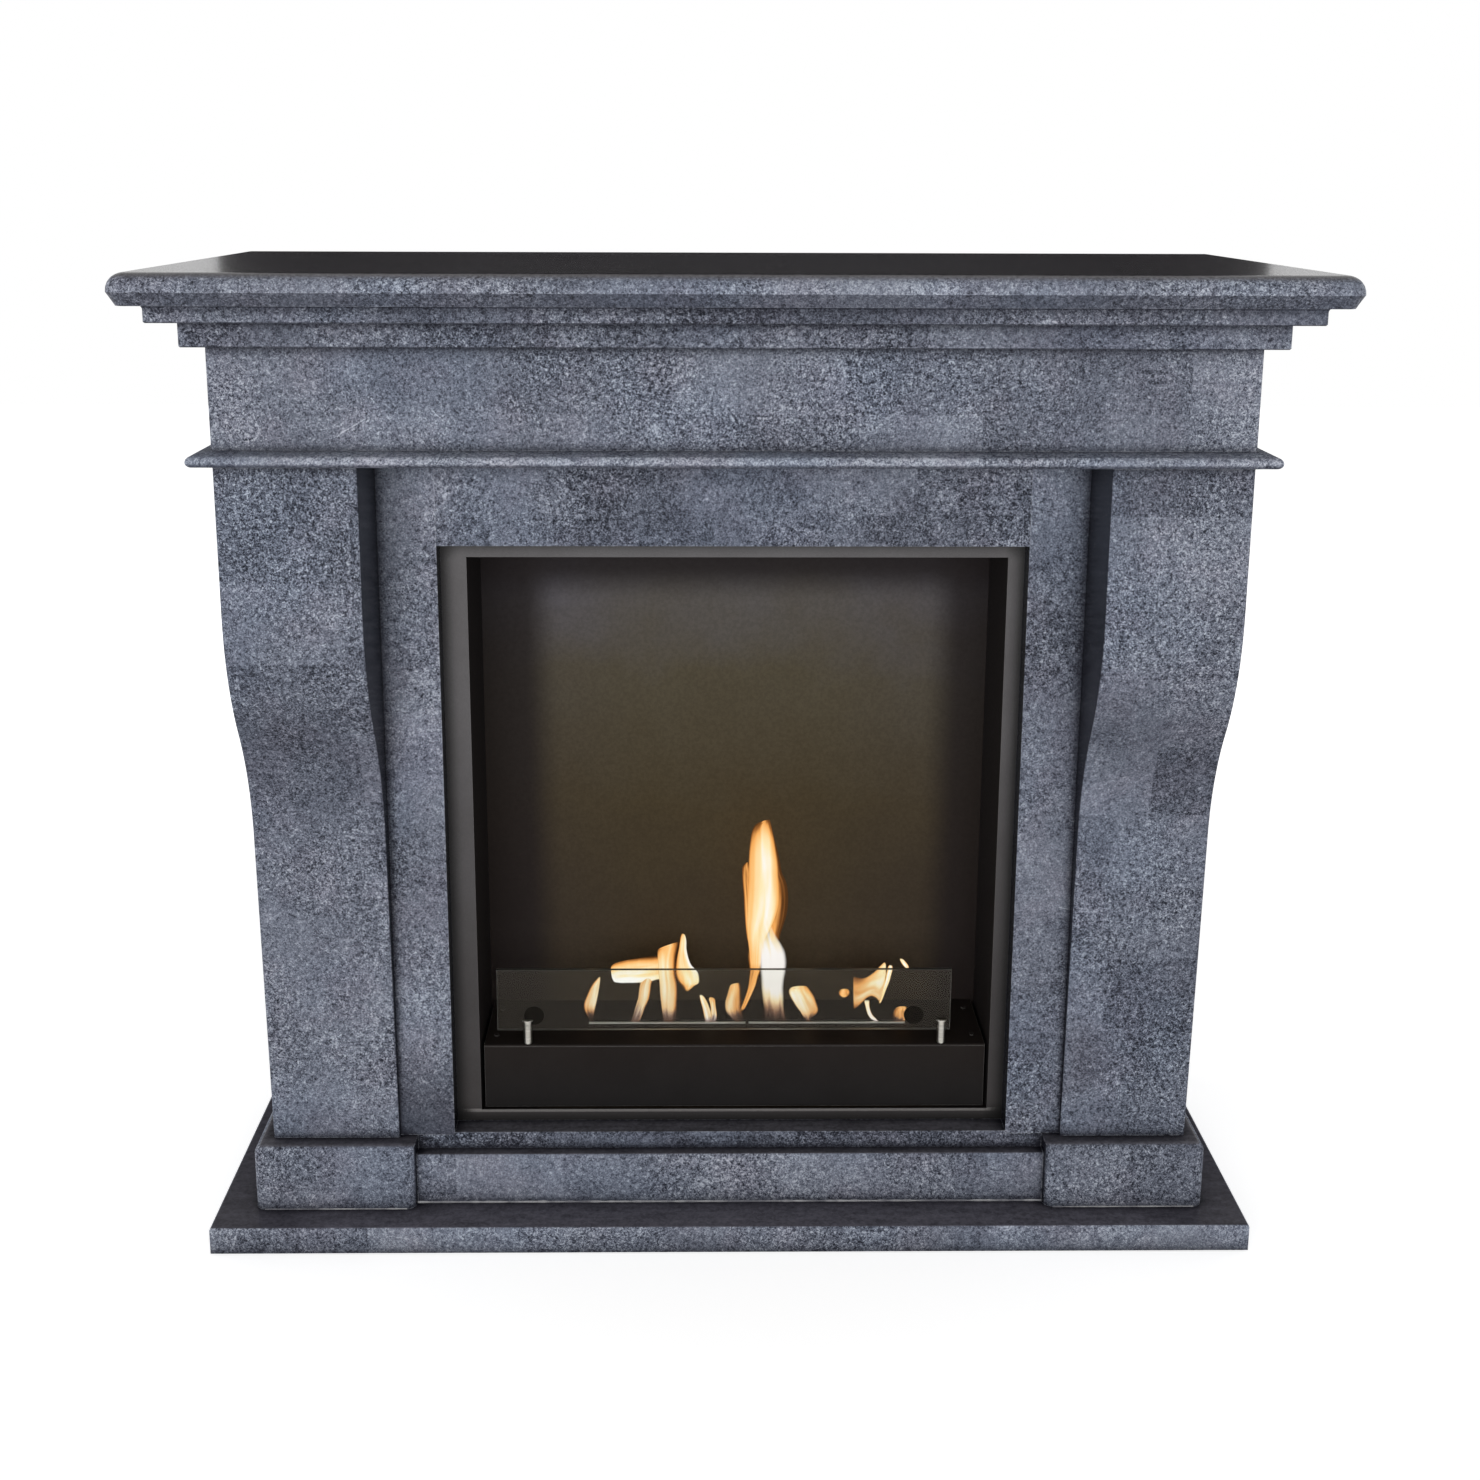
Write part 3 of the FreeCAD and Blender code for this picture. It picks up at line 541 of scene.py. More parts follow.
def glassFinish(name):
    # clear toughened pane with the faintest smears, and ground edges all round
    look = glassLook
    mirror = opaque(look["mirror"])
    material, tree, shader = newFinish(
        name, IOR=look["bend"], Specular_IOR_Level=look["specular"], Specular_Tint=mirror)
    smear = noise(tree, placed(tree, stretch=(1.0, 1.0, 2.2)), 16.0, 4.0, 0.6, 0.6)
    colour = mix(tree, span(tree, smear, 0.3, 0.75), look["smear"], look["clear"])
    normal = axes(tree, "Normal")
    narrow = calc(tree, "MAXIMUM", *(calc(tree, "ABSOLUTE", normal[way]) for way in "XZ"))
    edge = calc(tree, "MAXIMUM", edgeWear(tree, look["arris"]), calc(tree, "GREATER_THAN", narrow, 0.5))
    colour = mix(tree, edge, colour, look["ground"])
    roughness = calc(tree, "MULTIPLY_ADD", edge, 0.5, span(tree, smear, 0.35, 0.8, 0.0, 0.03))
    through = calc(tree, "MULTIPLY_ADD", edge, -0.60, 1.0)
    join(tree, shader, Base_Color=colour, Roughness=roughness, Transmission_Weight=through)
    return material


# Every node gets a finish by its record slot, and each stone its own stretch of the pattern

honedStone = (0.108, 0.104, 0.120)
stonePieces = {
    "mantel_shelf": {"tone": 0.09, "honed": (0.092, 0.086, 0.094), "turnUp": (0.62, 0.97), "gloss": 0.22},
    "cornice_upper": {"tone": -0.04},
    "cornice_lower": {"tone": -0.05},
    "frieze_front": {"tone": 0.04},
    "astragal_board": {"tone": 0.20},
    # the legs get less painted shade underneath
    "pilaster_left": {"underShade": 0.45},
    "pilaster_right": {"underShade": 0.45},
    "header_panel": {"tone": -0.03},
    # painted shade near the foot of the left jamb
    "jamb_left": {"dirtAndShade": (0.215, 0.125)},
    "jamb_right": {"tone": -0.01},
    "sill_rail": {"tone": -0.15, "honed": honedStone},
    "plinth_left": {"tone": 0.05, "honed": honedStone},
    "plinth_right": {"tone": 0.02, "honed": honedStone},
    "fender_rail": {"tone": 0.04, "honed": honedStone},
    # painted shade on the hearth's ends
    "hearth_slab": {"tone": 0.08, "honed": (0.126, 0.120, 0.144), "ends": (0.43, 0.50)},
}
patternStep = (1.7, 0.9, 2.3)  # metres
rubberLook = {"colour": (0.022, 0.022, 0.023), "dusty": (0.058, 0.058, 0.060)}
padLook = {"colour": (0.010, 0.010, 0.010), "dusty": (0.032, 0.032, 0.032)}


def dressNodes():
    # the pattern is moved by a step for each node, so that no two stones look alike
    slotOf = {part["node"]: part["material_slot"] for part in frame["record"]["subparts"]}
    shared = {
        "firebox_steel": fireboxFinish("firebox coat"),
        "zinc_steel": zincFinish("zinc plate"),
        "block": blockFinish("light block"),
        "wool": woolFinish("ceramic fibre"),
        "foot_rubber": darkRubberFinish("foot rubber", **rubberLook),
        "pad_black": darkRubberFinish("screen pad", **padLook),
        "screen_glass": glassFinish("screen glass"),
    }
    turned = stainlessFinish("turned stainless", turnedLook)
    brushed = stainlessFinish("brushed stainless", brushedLook)
    flange = blackSteelFinish("flange coat", flangeCoat)
    tray = blackSteelFinish("tray coat", trayCoat)
    for index, name in enumerate(sorted(frame["nodes"])):
        slot = slotOf[name]
        if slot == "stone":
            shift = tuple(index * step for step in patternStep)
            finish = stoneFinish("stone " + name, shift, **stonePieces.get(name, {}))
        elif slot == "stainless":
            finish = turned if name.startswith(("glass_post", "clamp")) else brushed
        elif slot == "black_steel":
            finish = flange if name == "insert_flange" else tray
        else:
            finish = shared[slot]
        mesh = frame["nodes"][name].data
        mesh.materials.clear()
        mesh.materials.append(finish)


dressNodes()
print("finishes:", len(bpy.data.materials), "materials on the nodes")


# Flames: each tongue is a flattened tube, its section an ellipse carried up a curved spine

flameLook = {
    "around": 28,  # points round a section
    "along": 56,
    "depth": 0.35,  # front-to-back share of a tongue's width
    "deepest": 2.6 * mm,
    "footDepth": 1.9 * mm,  # half depth inside the slot
    "footHeight": 16 * mm,  # above this the flame is free of the slot
    "rooted": 6.0,  # millimetres: a tongue that starts lower than this grows out of the slot
    "root": -7.0,
    "lipGap": 2.9 * mm,  # from the damper's lip to the middle of what it leaves open
    "keep": 0.015,  # what is left of the height when the damper shuts
    "tones": [
        (0.00, (0.10, 0.035, 0.008)), (0.20, (0.36, 0.13, 0.030)), (0.40, (0.95, 0.43, 0.115)),
        (0.58, (1.0, 0.60, 0.23)), (0.80, (1.0, 0.84, 0.49)), (1.00, (1.0, 0.98, 0.93)),
    ],
    "mauve": [(0.10, (0.050, 0.028, 0.024)), (0.45, (0.23, 0.130, 0.102)), (0.90, (0.60, 0.47, 0.46))],
    "tilt": 0.5,  # gains on the heat, from here to wisps
    "cool": -0.60,
    "streaks": 0.85,
    "wisps": 0.14,
    "seedStep": 3.7,
}

# a tongue: how far it stands forward, how much hotter its second edge is, softness of its rim,
# height of its clear foot, share of it over which the tip fades, and rows of both edges in millimetres
# from the burner's middle and the cover, each with its glow
leftTongues = {
    "leaf": (0, 0.4, 0.21, 26, 0.06, [
        (-179.5, 1.5, -177, 1.5, 0.09), (-184.5, 10.5, -175.5, 8.5, 0.22),
        (-186.5, 16.5, -174.5, 14.5, 0.45), (-186, 23.5, -172.5, 23.5, 0.7),
        (-182.5, 33, -170.5, 33, 0.76), (-179, 41.5, -169, 41.5, 0.77), (-175, 48.5, -168, 48, 0.76),
        (-170.5, 53.5, -167.5, 52.5, 0.72), (-168, 56, -167.5, 56, 0.68)]),
    "flag": (-2.5, 0.5, 0.14, 0, 0.03, [
        (-93.5, 81.5, -93.5, 52, 0.6), (-101, 79.5, -101.5, 52, 0.7), (-110.5, 78.5, -110.5, 49, 0.78),
        (-119, 77.5, -121, 48, 0.84), (-127.5, 76, -131, 47.5, 0.9), (-136, 74.5, -141.5, 47.5, 0.93),
        (-144.5, 72.5, -147.5, 48, 0.95), (-151, 70, -151.5, 49, 0.95), (-154.5, 67.5, -154, 54, 0.9),
        (-155.5, 65, -155, 61.5, 0.85)]),
    "leg": (-3, -0.2, 0.28, 30, 0.08, [
        (-134, -1.5, -124.5, -1.5, 0.35), (-131, 5, -121, 5, 0.5), (-128.5, 12.5, -118, 12.5, 0.64),
        (-126, 21, -115, 20, 0.7), (-124, 29, -112, 28, 0.73), (-123, 37.5, -110.5, 36.5, 0.75),
        (-121.5, 46, -109.5, 45, 0.76), (-120, 52, -107.5, 51.5, 0.77), (-118.5, 58.5, -105.5, 57, 0.77)]),
    "column": (0.5, -0.3, 0.17, 25, 0.03, [
        (-95.5, -1.5, -81, -1.5, 0.35), (-96, 4, -81, 5, 0.5), (-97, 14, -80.5, 14, 0.62),
        (-98, 25.5, -80, 25.5, 0.66), (-99, 36.5, -79.5, 36.5, 0.67), (-99.5, 47.5, -80, 47.5, 0.69),
        (-100.5, 58.5, -82, 58.5, 0.74), (-101, 69.5, -82.5, 69.5, 0.78), (-101.5, 79, -81.5, 80.5, 0.72),
        (-101.5, 85.5, -79.5, 90, 0.63), (-101, 88.5, -78, 96.5, 0.55), (-99.5, 90, -78, 97.5, 0.48)]),
    "hook": (2, 0.45, 0.17, 0, 0.05, [
        (-70, 38, -68.5, 37.5, 0.3), (-75, 45.5, -61, 45.5, 0.48), (-79.5, 52, -55.5, 49.5, 0.72),
        (-81.5, 58.5, -55.5, 57.5, 0.82), (-82, 64, -57.5, 63, 0.84), (-82, 69.5, -63.5, 69.5, 0.78),
        (-81, 77, -66.5, 76.5, 0.72), (-79.5, 84.5, -68.5, 84.5, 0.7), (-78, 91.5, -69.5, 91.5, 0.72),
        (-77, 99, -69.5, 99, 0.74), (-76, 105.5, -70.5, 105.5, 0.68), (-74.5, 109, -72.5, 109, 0.55)]),
    "bladeOne": (1, 0, 0.21, 10, 0.08, [
        (-48, -1.5, -41.5, -1.5, 0.74), (-48.5, 4, -40, 4, 0.81), (-49.5, 10.5, -41.5, 11.5, 0.85),
        (-51, 18, -43.5, 18.5, 0.85), (-53, 25.5, -46, 25, 0.83), (-54, 31, -49, 30.5, 0.79),
        (-54.5, 34, -52.5, 34, 0.74)]),
    "bladeTwo": (-0.5, 0, 0.21, 12, 0.08, [
        (-42, -1.5, -36.5, -1.5, 0.76), (-42, 5, -34.5, 4.5, 0.84), (-41.5, 11.5, -35, 12, 0.82),
        (-41.5, 18, -36, 18, 0.76), (-42.5, 23.5, -36.5, 24.5, 0.63), (-43.5, 28, -37, 27.5, 0.53),
        (-41.5, 30.5, -37.5, 28.5, 0.47)]),
    "lobe": (0.5, -0.45, 0.24, 20, 0.06, [
        (-9.5, -3, -4, -3, 0.34), (-16.5, 3.5, -4, 3.5, 0.42), (-23, 12, -5.5, 12, 0.53),
        (-24.5, 19.5, -6.5, 19.5, 0.59), (-24, 27, -6.5, 27, 0.59), (-22, 34.5, -7, 34.5, 0.55),
        (-20.5, 41, -7, 41, 0.5), (-19, 45, -8, 46.5, 0.45), (-17.5, 46, -8.5, 48, 0.4)]),
    "strand": (-1, 0, 0.24, 0, 0.2, [
        (-9.5, 13, -6, 12, 0.24), (-6.5, 18.5, -2, 17, 0.27), (-3.5, 27, 2, 26, 0.29),
        (-0.5, 36.5, 6, 35.5, 0.30), (1.5, 45.5, 10, 45, 0.32), (2.5, 55, 12.5, 54.5, 0.36),
        (3, 62, 15, 62, 0.39), (2, 69.5, 15.5, 69.5, 0.42), (1, 78.5, 15.5, 78.5, 0.43),
        (1, 88, 15.5, 88, 0.45)]),
}
rightTongues = {
    "shoulder": (-3, 0, 0.17, 0, 0.06, [
        (0, 96, 4, 96, 0.4), (-2, 112.5, 5.5, 112.5, 0.4), (-3.5, 132.5, 5.5, 132.5, 0.38),
        (-4.5, 152.5, 5, 152.5, 0.36), (-6, 170.5, 5, 170.5, 0.34), (-6.5, 182.5, 4.5, 182.5, 0.32),
        (-6, 187.5, 2.5, 188.5, 0.3), (-4, 190.5, 1, 192, 0.26), (-1.5, 192, 0.5, 193, 0.22)]),
    "flank": (-3, -0.4, 0.14, 0, 0.1, [
        (25.5, 95, 36.5, 95, 0.4), (25.5, 104, 37, 105, 0.34), (25.5, 116.5, 41, 118.5, 0.3),
        (25, 128.5, 44, 130.5, 0.28), (25, 142.5, 45.5, 144.5, 0.26), (25, 156.5, 45, 156.5, 0.26),
        (25, 168.5, 43, 168.5, 0.28), (23, 180.5, 38, 180.5, 0.34), (21, 192.5, 35.5, 194.5, 0.4),
        (19, 206.5, 32.5, 208.5, 0.44), (18.5, 218.5, 29, 220.5, 0.44), (19.5, 230, 25.5, 231, 0.4),
        (20.5, 239, 23, 240, 0.34)]),
    "core": (0.5, 0.05, 0.15, 0, 0.03, [
        (4, 62.5, 15, 62.5, 0.54), (2.5, 75.5, 15.5, 75.5, 0.58), (1.5, 90, 17, 90, 0.64),
        (0, 104, 20, 102, 0.72), (-0.5, 116.5, 25.5, 114, 0.8), (0, 128.5, 31, 128.5, 0.84),
        (0, 144.5, 34.5, 144.5, 0.84), (0.5, 160.5, 34.5, 160.5, 0.82), (1, 176.5, 33.5, 176.5, 0.81),
        (1, 192.5, 32.5, 192.5, 0.8), (1.5, 206.5, 30.5, 206.5, 0.78), (2.5, 218.5, 28.5, 220.5, 0.73),
        (3.5, 228, 26.5, 231, 0.62), (5.5, 235, 25, 239, 0.48), (8.5, 239, 24, 243, 0.38),
        (12, 241, 23.5, 244.5, 0.32)]),
    "hot": (3.2, 0.1, 0.36, 38, 0.46, [
        (17.5, 0.5, 45, 0, 0.2), (18.5, 9, 42.5, 8.5, 0.34), (20, 18, 40.5, 20, 0.56),
        (18.5, 30.5, 40, 32.5, 0.84), (17.5, 43, 39.5, 43, 1), (17, 55, 40.5, 55, 1.06),
        (16, 65.5, 42, 65.5, 1.08), (15, 75.5, 42.5, 75.5, 1.08), (14.5, 86, 41, 86, 1.04),
        (13.5, 96, 37.5, 95, 0.98), (13, 104, 33.5, 102, 0.93), (12.5, 113.5, 29, 111, 0.89),
        (12, 122.5, 25, 120.5, 0.86), (12.5, 130.5, 21.5, 128.5, 0.84), (14, 136.5, 19, 135.5, 0.83)]),
    "leafEast": (1, -0.3, 0.2, 15, 0.08, [
        (68, -1, 74, -1, 0.29), (67.5, 2.5, 73, 2.5, 0.38), (64.5, 6.5, 75.5, 5.5, 0.48),
        (61, 13, 79.5, 10.5, 0.65), (57, 19, 81, 16, 0.74), (52.5, 26.5, 78.5, 24, 0.77),
        (49.5, 32.5, 76, 31.5, 0.77), (48, 37.5, 72.5, 37.5, 0.75), (49.5, 41.5, 69, 42.5, 0.72),
        (53.5, 43.5, 66, 44, 0.67)]),
    "blob": (0, 0, 0.24, 0, 0.08, [
        (109.5, 29.5, 112.5, 30, 0.36), (105.5, 33, 116, 33, 0.45), (104.5, 36, 116.5, 36.5, 0.49),
        (106.5, 39, 115.5, 39, 0.46), (109.5, 40, 113, 40, 0.4)]),
    "wing": (0, 0, 0.14, 22, 0.08, [
        (120.5, 55, 121.5, 15.5, 0.5), (122.5, 54.5, 123.5, 16.5, 0.54), (125.5, 53.5, 127, 19, 0.59),
        (130.5, 52.5, 131.5, 24, 0.68), (136, 54, 136.5, 29.5, 0.73), (142, 58, 142, 32, 0.77),
        (147, 62.5, 147.5, 29.5, 0.77), (150, 66, 151, 26, 0.77), (153, 69, 154, 32, 0.77),
        (155, 71, 156, 42.5, 0.75), (156.5, 71.5, 157, 53, 0.71), (158, 69, 158, 60, 0.68)]),
    "wingEdge": (1.5, 0, 0.17, 0, 0.08, [
        (150, 22.5, 152, 22.5, 0.7), (152.5, 30, 155, 30, 0.84), (154.5, 40.5, 158, 39.5, 0.88),
        (157, 51, 161.5, 49.5, 0.9), (158.5, 61, 164, 60, 0.9), (160, 67, 165, 66, 0.84),
        (161.5, 70, 164.5, 69.5, 0.74)]),
    "wingStem": (1, 0, 0.24, 7, 0.08, [
        (147, -1, 151.5, -1, 0.8), (142, 3.5, 148.5, 2.5, 0.88), (138.5, 8.5, 144, 7.5, 0.95),
        (136.5, 14.5, 141, 14, 0.95), (135, 21, 139.5, 21, 0.92), (133.5, 27, 139.5, 27, 0.88)]),
    "spark": (0, 0, 0.21, 0, 0.08, [
        (173.5, 77, 174.5, 77, 0.7), (174, 74.5, 177.5, 75.5, 0.84), (176.5, 70, 181, 71.5, 0.9),
        (179.5, 66.5, 183.5, 67.5, 0.84), (182.5, 64.5, 183.5, 65, 0.7)]),
    "endFlame": (0, 0, 0.21, 7, 0.1, [
        (166, -2, 174, -2, 0.34), (166.5, 4.5, 184, 4, 0.42), (167.5, 10.5, 184.5, 10.5, 0.46),
        (170, 15.5, 184, 15.5, 0.42), (174, 18, 182.5, 18, 0.36)]),
}


def smoothPath(knots, count):
    # Catmull-Rom spline through the knots, as whole arrays
    knots = np.asarray(knots, float)
    padded = np.vstack([2 * knots[0] - knots[1], knots, 2 * knots[-1] - knots[-2]])
    at = np.linspace(0.0, len(knots) - 1.0, count)
    first = np.minimum(at.astype(int), len(knots) - 2)
    t = (at - first)[:, None]
    a, b, c, d = (padded[first + step] for step in range(4))
    return 0.5 * (2 * b + (c - a) * t + (2 * a - 5 * b + 4 * c - d) * t**2 + (3 * b - a - 3 * c + d) * t**3)


def tongueGrid(rows, front, soft, middleX, slotY, baseZ):
    # point(u, v) = middle of both edges + half their distance times cos(u) + depth(v) sin(u) front to back
    look = flameLook
    rows = np.asarray(rows, float)
    if rows[0, 1] < look["rooted"]:
        rows = np.vstack([[rows[0, 0], look["root"], rows[0, 2], look["root"], rows[0, 4]], rows])
    path = smoothPath(rows, look["along"])
    middle = 0.5 * mm * (path[:, 2:4] + path[:, 0:2])
    arm = 0.5 * mm * (1.0 + 0.5 * soft) * (path[:, 2:4] - path[:, 0:2])  # half of the soft rim lies outside
    free = np.clip(middle[:, 1] / look["footHeight"], 0.0, 1.0)
    deepest = look["footDepth"] * (1 - free) + look["deepest"] * free
    deep = np.minimum(np.linalg.norm(arm, axis=1) * look["depth"], deepest)
    u = np.linspace(0.0, 2 * np.pi, look["around"], endpoint=False)
    side = np.cos(u) * np.ones((len(path), 1))
    points = np.stack([
        middleX + middle[:, :1] + arm[:, :1] * side,
        slotY - front * mm * free[:, None] + deep[:, None] * np.sin(u),
        baseZ + middle[:, 1:] + arm[:, 1:] * side,
    ], axis=-1)
    along = np.linspace(0.0, 1.0, len(path))[:, None] + 0 * side
    return points, side, along, path[:, 4:] + 0 * side


def tubeFaces(grid, start):
    # quads round the tube and one polygon at each end, turned so that the volume comes out positive
    rows, columns = grid.shape[:2]
    index = np.arange(rows * columns).reshape(rows, columns)
    beside = np.roll(index, -1, axis=1)
    quads = np.stack([index[:-1], beside[:-1], beside[1:], index[1:]], axis=-1).reshape(-1, 4)
    flat = grid.reshape(-1, 3) - grid.reshape(-1, 3).mean(axis=0)
    p, q, r, s = (flat[quads[:, side]] for side in range(4))
    volume = np.sum(p * np.cross(q, r)) + np.sum(p * np.cross(r, s))
    caps = [index[0, ::-1], index[-1]]
    if volume < 0:
        quads = quads[:, ::-1]
        caps = [cap[::-1] for cap in caps]
    return (quads + start).tolist() + [(cap + start).tolist() for cap in caps]


def newPiece(name, points, faces, material, attributes=None, smoothAndShaded=True):
    # a mesh from points and faces, with one value per point for each attribute
    mesh = bpy.data.meshes.new(name)
    mesh.from_pydata(points, [], faces)
    for key, values in (attributes or {}).items():
        mesh.attributes.new(key, "FLOAT", "POINT").data.foreach_set("value", values.astype(np.float32))
    mesh.polygons.foreach_set("use_smooth", np.full(len(mesh.polygons), smoothAndShaded))
    mesh.materials.append(material)
    piece = bpy.data.objects.new(name, mesh)
    bpy.context.scene.collection.objects.link(piece)
    return piece


flameTraits = ("across", "along", "rise", "glow", "soft", "foot", "lean", "fade", "seed")


def flameFinish():
    # heat = glow of the row, more to the hot edge, less at the rims, plus streaks along the tongue
    look = flameLook
    black = opaque((0.0, 0.0, 0.0))
    material, tree, shader = newFinish(
        "flame", Base_Color=black, Roughness=1.0, Specular_IOR_Level=0.0, Emission_Strength=1.0)
    across, along, rise, glow, soft, foot, lean, fade, seed = (
        addNode(tree, "ShaderNodeAttribute", attribute_name=name).outputs["Fac"] for name in flameTraits
    )
    flow = addNode(tree, "ShaderNodeCombineXYZ", {0: across, 1: along, 2: seed}).outputs[0]
    streaks = noise(tree, flow, 1.7, 1.5, 0.4, 0.4)
    wisps = noise(tree, placed(tree, stretch=(1.0, 1.0, 0.25)), 110.0, 3.0, 0.6, 0.6)
    out = calc(tree, "ABSOLUTE", across)
    tilt = calc(tree, "MULTIPLY", lean, across)
    cool = calc(tree, "MULTIPLY_ADD", tilt, -1.6, 1.0)
    cool = calc(tree, "SUBTRACT", cool, calc(tree, "MULTIPLY", fade, 2.0))
    cool = calc(tree, "MULTIPLY", calc(tree, "MAXIMUM", cool, 0.0), calc(tree, "POWER", out, 4.0))
    heat = calc(tree, "MULTIPLY_ADD", cool, look["cool"], glow)
    heat = calc(tree, "MULTIPLY_ADD", tilt, look["tilt"], heat)
    heat = calc(tree, "ADD", heat, away(tree, streaks, look["streaks"]))
    heat = calc(tree, "ADD", heat, away(tree, wisps, look["wisps"]))
    colour = ramp(tree, heat, look["tones"])
    share = calc(tree, "DIVIDE", calc(tree, "ADD", rise, away(tree, wisps, 0.010)), foot)
    share = calc(tree, "ADD", share, away(tree, streaks, 1.1))
    low = span(tree, share, 0.2, 1.0, 0.95, 0.0)
    low = calc(tree, "MAXIMUM", low, span(tree, share, 0.6, 3.6, 0.32, 0.0))
    colour = mix(tree, low, colour, ramp(tree, heat, look["mauve"]))
    ragged = calc(tree, "ADD", out, away(tree, wisps, 0.12))
    rim = span(tree, ragged, 1.0, calc(tree, "SUBTRACT", 1.0, soft))
    clear = span(tree, share, 0.0, 0.85, 0.22, 1.0)
    start = span(tree, along, 0.0, calc(tree, "MULTIPLY", soft, 0.40))
    tip = span(tree, along, 1.0, calc(tree, "SUBTRACT", 1.0, fade))
    thin = span(tree, heat, 0.0, 0.42, 0.50, 1.0)  # the cooler, the clearer
    alpha = rim
    for part in (clear, start, tip, thin):
        alpha = calc(tree, "MULTIPLY", alpha, part)
    join(tree, shader, Emission_Color=colour, Alpha=alpha)
    return material


flameMaterial = flameFinish()


def makeFlames(name, tongues):
    # all tongues of one side in one mesh, over the slot that its damper closes
    look = flameLook
    left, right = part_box("damper_left"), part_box("damper_right")
    middleX = 0.5 * (left[1].x + right[0].x)
    slotY = left[1].y + look["lipGap"]
    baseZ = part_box("tray_cover")[1].z
    points, faces, traits = [], [], []
    for seed, (front, lean, soft, foot, fade, rows) in enumerate(tongues.values()):
        grid, across, along, glow = tongueGrid(rows, front, soft, middleX, slotY, baseZ)
        faces += tubeFaces(grid, sum(len(part) for part in points))
        points.append(grid.reshape(-1, 3))
        alike = (soft, max(foot, 1.0) * mm, lean, fade, look["seedStep"] * seed)
        same = [np.full_like(across, value) for value in alike]
        values = np.stack([across, along, grid[:, :, 2] - baseZ, glow, *same])
        traits.append(values.reshape(len(flameTraits), -1))
    attributes = dict(zip(flameTraits, np.concatenate(traits, axis=1)))
    flames = newPiece(name, np.concatenate(points), faces, flameMaterial, attributes)
    flames.visible_shadow = False
    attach(flames, "fireplace")
    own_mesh(flames)


makeFlames("flames_left", leftTongues)
makeFlames("flames_right", rightTongues)
print("flames:", len(leftTongues) + len(rightTongues), "tongues")


# Mortar struck along the foot of the fender and the plinths

jointLook = {
    "fender": 1.4 * mm,  # size of the hollow bead
    "plinth": 0.9 * mm,
    "step": 3.0 * mm,
    "plinthCorner": 10 * mm,  # the plinths' rounded corners stay free
    "ragged": 0.22,
    "dry": (0.40, 0.40, 0.41),
    "dirty": (0.16, 0.16, 0.18),
}


def jointFinish():
    # pale lime mortar, dirty in patches
    look = jointLook
    material, tree, shader = newFinish("joint mortar", Specular_IOR_Level=0.1)
    spot = placed(tree)
    sand = noise(tree, spot, 900.0, 3.0, 0.6)
    dirtAndShade = noise(tree, spot, 26.0, 4.0, 0.6)
    colour = mix(tree, span(tree, dirtAndShade, 0.36, 0.62), look["dry"], look["dirty"])
    colour = shaded(tree, span(tree, sand, 0.35, 0.65), colour, (0.72, 0.72, 0.73))
    roughness = calc(tree, "MULTIPLY_ADD", sand, 0.1, 0.82)
    join(tree, shader, Base_Color=colour, Roughness=roughness, Normal=bump(tree, sand, 0.4, 0.0004))
    return material


def beadGrid(startX, endX, faceY, floorZ, size):
    # a hollow quarter round in the corner of face and floor, its size wavering along the run
    look = jointLook
    x = np.linspace(startX, endX, int((endX - startX) / look["step"]) + 2)
    waver = np.sin(x * 61.0 + 1.3) * np.sin(x * 173.0) + 0.6 * np.sin(x * 419.0 + 0.4)
    radius = size * (1.0 + look["ragged"] * waver)
    turn = np.linspace(0.0, np.pi / 2, 7)
    outY = np.append(1.0 - np.sin(turn), 0.0)  # hollow from the floor's toe up to the face, then the corner
    upZ = np.append(1.0 - np.cos(turn), 0.0)
    x, radius = x[:, None], radius[:, None]
    return np.stack([x + 0 * outY, faceY - radius * outY, floorZ + radius * upZ], axis=-1)


def makeJoint():
    # one bead for the fender and one for each plinth, joined in one piece
    look = jointLook
    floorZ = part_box("hearth_slab")[1].z
    corner = look["plinthCorner"]
    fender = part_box("fender_rail")
    runs = [(fender[0].x, fender[1].x, fender[0].y, floorZ, look["fender"])]
    for name in ("plinth_left", "plinth_right"):
        low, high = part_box(name)
        runs.append((low.x + corner, high.x - corner, low.y, floorZ, look["plinth"]))
    points, faces = [], []
    for run in runs:
        grid = beadGrid(*run)
        faces += tubeFaces(grid, sum(len(part) for part in points))
        points.append(grid.reshape(-1, 3))
    piece = newPiece("hearth_joint", np.concatenate(points), faces, jointFinish(), smoothAndShaded=False)
    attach(piece, "fireplace")
    print("joint:", len(faces), "faces in", len(runs), "runs")


makeJoint()


# Stage: floor, light and camera

